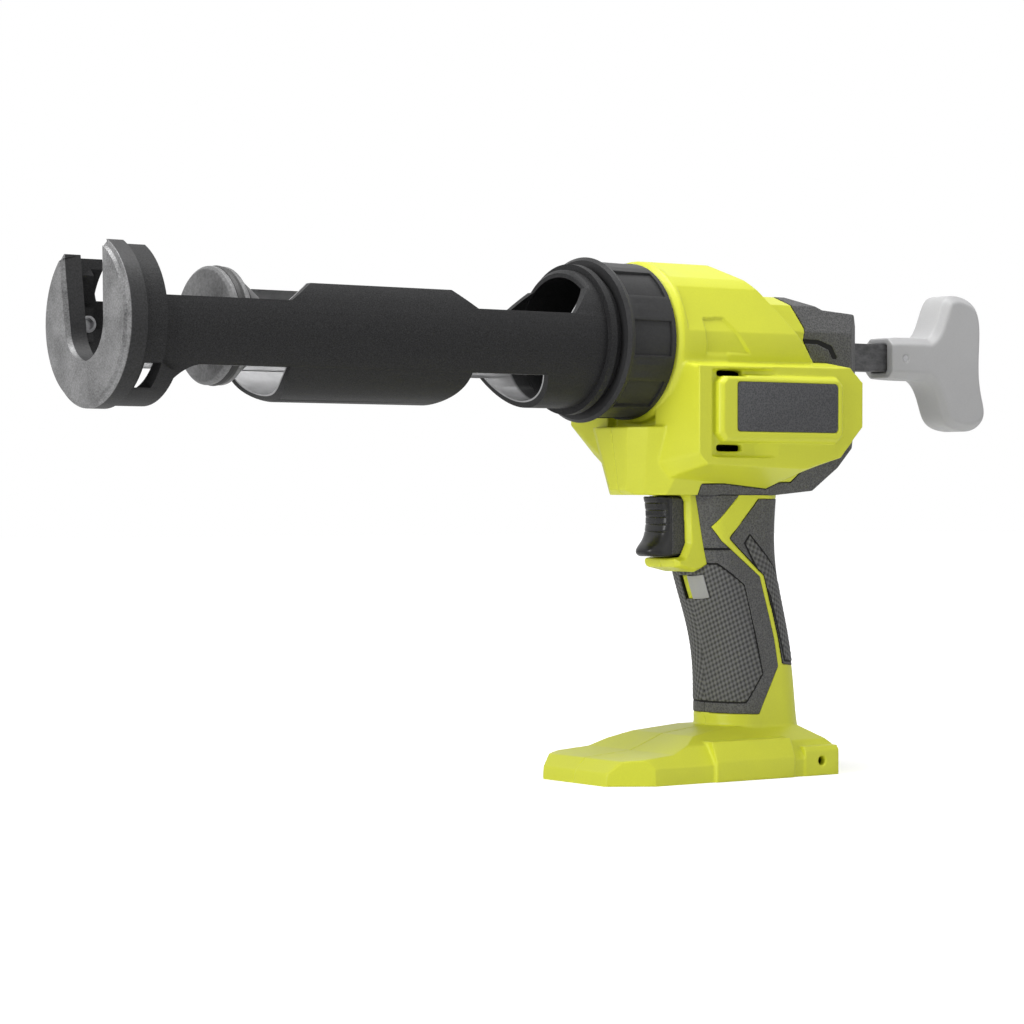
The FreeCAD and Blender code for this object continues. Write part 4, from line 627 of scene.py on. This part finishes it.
socket = {"ring": 1.0, "lip": 0.05, "depth": 1.5}
shape = mergedCopy("end_plate_screws")
bmesh.ops.dissolve_limit(shape, angle_limit=flatAngle, verts=shape.verts, edges=shape.edges)
caps = [face for face in shape.faces if abs(face.normal.y) > 0.99]
nearest = min(abs(face.calc_center_median().y) for face in caps)
heads = [face for face in caps if abs(face.calc_center_median().y) - nearest < 0.0001]
bmesh.ops.inset_individual(shape, faces=heads, thickness=socket["ring"] * mm)
bmesh.ops.inset_individual(shape, faces=heads, thickness=socket["lip"] * mm)
for head in heads:
    outward = math.copysign(socket["depth"] * mm, head.calc_center_median().y)
    bmesh.ops.translate(shape, verts=head.verts, vec=(0, outward, 0))
screwMesh = toMesh(shape, "end_plate_screws_socket")
smoothByAngle(screwMesh, 35)
adopt(screwMesh, "end_plate_screws_socket", bodyOf["end_plate_screws"], "screw_steel",
      stands=("end_plate_screws",))


# Pull handle, rounded all over

handle = {"voxel": 0.4, "rounds": 10, "limit": 120000}
adopt(remade("pull_handle", "pull_handle_round", handle), "pull_handle_round", bodyOf["pull_handle"],
      slotOf["pull_handle"], stands=("pull_handle",))


# Trigger front: a smooth lofted curve with a round lip and fine grooves; knots are (height, reach)

triggerFront = {
    "knots": ((93.2, 23.2), (94.3, 24.6), (95.8, 24.9), (97.4, 23.8), (99.7, 21.4), (102.5, 19.5),
              (105.8, 18.5), (109.5, 18.2), (113.5, 18.6), (116.5, 19.4), (118.4, 20.2)),
    "rear": 14.5, "half": 7.9, "power": 2.6, "steps": 160, "around": 40, "edge": 0.9, "edgeShare": 0.6,
    "levels": (115.8, 112.8, 109.8, 106.8, 103.8), "width": 0.5, "depth": 0.45,
}


def reachAt(knots, height):
    last = len(knots) - 1
    index = next((i for i in range(last) if height <= knots[i + 1][0]), last - 1)
    slopes = []
    for place in (index, index + 1):
        before, after = knots[max(place - 1, 0)], knots[min(place + 1, last)]
        slopes.append((after[1] - before[1]) / (after[0] - before[0]))
    (low, start), (high, stop) = knots[index], knots[index + 1]
    span = high - low
    share = (height - low) / span
    rise = share * share * (3 - 2 * share)
    leave = share * (1 - share) ** 2
    arrive = share * share * (share - 1)
    return start + (stop - start) * rise + span * (slopes[0] * leave + slopes[1] * arrive)


def triggerRing(shape, form, height):
    low, high = form["knots"][0][0], form["knots"][-1][0]
    near = max(0.0, 1 - min(height - low, high - height) / form["edge"])
    inset = form["edge"] * (1 - math.sqrt(1 - near * near)) * form["edgeShare"]
    gap = min(abs(height - level) for level in form["levels"])
    groove = form["depth"] * max(0.0, 1 - gap / form["width"])
    ring = []
    for step in range(form["around"] + 1):
        angle = math.pi * (step / form["around"] - 0.5)
        ahead = max(0.0, math.cos(angle)) ** (2 / form["power"])
        aside = math.copysign(abs(math.sin(angle)) ** (2 / form["power"]), angle)
        front = reachAt(form["knots"], height) - inset - groove * min(1.0, 2 * ahead)
        x = form["rear"] + (front - form["rear"]) * ahead
        ring.append(shape.verts.new((x * mm, (form["half"] - inset) * aside * mm, height * mm)))
    return ring


shape = bmesh.new()
low, high = triggerFront["knots"][0][0], triggerFront["knots"][-1][0]
rings = [triggerRing(shape, triggerFront, low + (high - low) * step / triggerFront["steps"])
         for step in range(triggerFront["steps"] + 1)]
for below, above in zip(rings, rings[1:]):
    for index in range(len(below)):
        shape.faces.new((below[index - 1], below[index], above[index], above[index - 1]))
shape.faces.new(rings[0])
shape.faces.new(rings[-1])
bmesh.ops.recalc_face_normals(shape, faces=shape.faces)
padMesh = toMesh(shape, "trigger_pad_round")
smoothByAngle(padMesh, 50)
adopt(padMesh, "trigger_pad_round", bodyOf["trigger_pad"], slotOf["trigger_pad"], stands=("trigger_pad",))

triggerPlate = {"voxel": 0.25, "rounds": 3, "lift": 0.12, "drawIn": 0.5, "limit": 60000}


def fromMiddle(spot):
    return Vector((0, spot.y, 0))


plate = remade("trigger", "trigger_plate", triggerPlate, finishing=lifted(triggerPlate, fromMiddle))
adopt(plate, "trigger_plate", bodyOf["trigger"], "plate")
print("rounded pieces done")


# Trigger spring: a wound coil

coil = {"ends": (-8.0, 1.5), "height": 105.8, "radius": 3.85, "wire": 0.33, "turns": 4.5, "steps": 24,
        "sides": 10, "travel": 6.0}
coilShape = bmesh.new()
bmesh.ops.create_circle(coilShape, segments=coil["sides"], radius=coil["wire"] * mm)
start = Matrix.Translation(Vector((coil["ends"][0] + coil["wire"], 0, coil["height"] + coil["radius"])) * mm)
bmesh.ops.transform(coilShape, verts=coilShape.verts, matrix=start @ Matrix.Rotation(math.pi / 2, 4, "X"))
coilSteps = int(coil["turns"] * coil["steps"])
coilRun = (coil["ends"][1] - coil["ends"][0] - 2 * coil["wire"]) / coilSteps
bmesh.ops.spin(coilShape, geom=coilShape.verts[:] + coilShape.edges[:], cent=(0, 0, coil["height"] * mm),
               axis=(1, 0, 0), dvec=(coilRun * mm, 0, 0), angle=2 * math.pi * coil["turns"], steps=coilSteps)
bmesh.ops.holes_fill(coilShape, edges=coilShape.edges, sides=0)
bmesh.ops.recalc_face_normals(coilShape, faces=coilShape.faces)
coilMesh = toMesh(coilShape, "trigger_spring_coil")
smoothByAngle(coilMesh, 50)
spring = adopt(coilMesh, "trigger_spring_coil", bodyOf["trigger_spring"], "screw_steel",
               stands=("trigger_spring",))
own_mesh(spring)


# Pieces that keep their solid's faces get softened edges: width, segments, angle

softEdges = {
    "lock_collar": (0.0006, 3, 30), "carriage_frame": (0.0005, 2, 35), "front_end_plate": (0.0007, 3, 30),
    "trigger": (0.0008, 3, 25), "drive_rod": (0.0003, 2, 40), "piston_plate": (0.0004, 2, 30),
    "lock_button": (0.0008, 3, 35), "rod_rear_bush": (0.0006, 2, 35),
}


ownFinish = {"piston_plate": "piston", "lock_button": "lock"}
plateRim = {"front": 287.0, "bevel": 2.0, "near": 0.05}


def fromBarrel(vert):
    return math.hypot(vert.co.y, vert.co.z - barrelZ * mm)


# The end plate's front edge is drawn out to a narrow rim

def narrowRim(shape):
    reach = max(fromBarrel(vert) for vert in shape.verts)
    front, bevel, near = (plateRim[key] * mm for key in ("front", "bevel", "near"))
    edge = [vert for vert in shape.verts if abs(fromBarrel(vert) - reach) < near]
    shoulder = max(vert.co.x for vert in edge)
    inner = reach - (front - shoulder)
    for vert in shape.verts:
        radius = fromBarrel(vert)
        if abs(radius - reach) < near and abs(vert.co.x - shoulder) < near:
            vert.co.x = front - bevel
        elif abs(radius - inner) < near and abs(vert.co.x - front) < near:
            grow = (reach - bevel) / radius
            vert.co.y *= grow
            vert.co.z = barrelZ * mm + (vert.co.z - barrelZ * mm) * grow


# The lock button keeps a little air to the rounded window at the end of its slide

lockAir = 0.95


def slimmer(shape):
    levels = [vert.co.y for vert in shape.verts]
    middle = (min(levels) + max(levels)) / 2
    for vert in shape.verts:
        vert.co.y = middle + (vert.co.y - middle) * lockAir


reshaped = {"front_end_plate": narrowRim, "lock_button": slimmer}


def softCopy(node, width, segments, limit):
    shape = mergedCopy(node)
    if node in reshaped:
        reshaped[node](shape)
    bmesh.ops.dissolve_limit(shape, angle_limit=flatAngle, verts=shape.verts, edges=shape.edges)
    mesh = toMesh(shape, node + "_soft")
    smoothByAngle(mesh, limit)
    finishKey = ownFinish.get(node, slotOf[node])
    piece = adopt(mesh, node + "_soft", bodyOf[node], finishKey, (node,))
    edge = piece.modifiers.new("softEdges", "BEVEL")
    edge.width = width
    edge.segments = segments
    edge.limit_method = "ANGLE"
    edge.angle_limit = math.radians(limit)
    edge.use_clamp_overlap = True
    edge.harden_normals = True
    edge.miter_outer = "MITER_ARC"
    return piece


soft = {node: softCopy(node, *setting) for node, setting in softEdges.items()}
print("soft edged pieces:", len(soft))


# Camera fitted to the photograph

lens = {"place": (0.8172, 1.0005, 0.1196), "yaw": 35.95, "pitch": -0.352, "roll": 0.113, "length": 106.8,
        "sensor": 36.0}
eyeData = bpy.data.cameras.new("eye")
eyeData.lens = lens["length"]
eyeData.sensor_width = lens["sensor"]
eye = bpy.data.objects.new("eye", eyeData)
bpy.context.scene.collection.objects.link(eye)
yaw, pitch = math.radians(lens["yaw"]), math.radians(lens["pitch"])
look = Vector((-math.sin(yaw) * math.cos(pitch), -math.cos(yaw) * math.cos(pitch), math.sin(pitch)))
eye.rotation_mode = "QUATERNION"
roll = Matrix.Rotation(math.radians(lens["roll"]), 3, "Z").to_quaternion()
eye.rotation_quaternion = look.to_track_quat("-Z", "Y") @ roll
eye.location = lens["place"]
bpy.context.scene.camera = eye


# Studio: pale floor, white to the camera, soft boxes at a plain level

studio = {"fill": 0.22, "middle": (0.06, 0, 0.12), "floorSize": 12.0, "floorGlow": (0.5, 1.0),
          "glowFrom": (0.3, 0.9)}
world = bpy.data.worlds.new("studio")
bpy.context.scene.world = world
world.use_nodes = True
skyTree = world.node_tree
sky = skyTree.nodes["Background"]
paths = put(skyTree, "ShaderNodeLightPath").outputs
seen = sums(skyTree, "MAXIMUM", paths["Is Camera Ray"],
            sums(skyTree, "MAXIMUM", paths["Is Glossy Ray"], paths["Is Transmission Ray"]))
wire(skyTree, spread(skyTree, seen, 0, 1, studio["fill"], 1.0), sky.inputs["Strength"])
sky.inputs["Color"].default_value = (1, 1, 1, 1)

lamps = {
    "topBox": {"place": (0.1, 0.05, 1.1), "size": (0.8, 0.5), "power": 9.5},
    "keyBox": {"place": (1.3, 0.3, 0.42), "size": (0.5, 0.7), "power": 8.5},
    "sideBox": {"place": (-0.45, 1.0, 0.4), "size": (0.5, 0.9), "power": 1.0},
}
for name, lamp in lamps.items():
    lampData = bpy.data.lights.new(name, "AREA")
    lampData.shape = "RECTANGLE"
    lampData.size, lampData.size_y = lamp["size"]
    lampData.energy = lamp["power"]
    box = bpy.data.objects.new(name, lampData)
    bpy.context.scene.collection.objects.link(box)
    box.location = lamp["place"]
    box.rotation_mode = "QUATERNION"
    box.rotation_quaternion = (Vector(studio["middle"]) - Vector(lamp["place"])).to_track_quat("-Z", "Y")

floorShape = bmesh.new()
bmesh.ops.create_grid(floorShape, x_segments=1, y_segments=1, size=studio["floorSize"] / 2)
floor = bpy.data.objects.new("floor", toMesh(floorShape, "floor"))
bpy.context.scene.collection.objects.link(floor)
floorFinish, floorTree, floorShader = startFinish("PaleFloor")
floorShader.inputs["Base Color"].default_value = (0.9, 0.9, 0.9, 1)
floorShader.inputs["Roughness"].default_value = 0.8
floorShader.inputs["Specular IOR Level"].default_value = 0.0
floorShader.inputs["Emission Color"].default_value = (1, 1, 1, 1)
distance = put(floorTree, "ShaderNodeVectorMath", operation="LENGTH")
wire(floorTree, objectPlace(floorTree), distance.inputs[0])
glow = spread(floorTree, distance.outputs["Value"], *studio["glowFrom"], *studio["floorGlow"])
cameraOnly = put(floorTree, "ShaderNodeLightPath").outputs["Is Camera Ray"]
wire(floorTree, sums(floorTree, "MULTIPLY", cameraOnly, glow), floorShader.inputs["Emission Strength"])
floor.data.materials.append(floorFinish)

scene = bpy.context.scene
scene.view_settings.view_transform = "Standard"
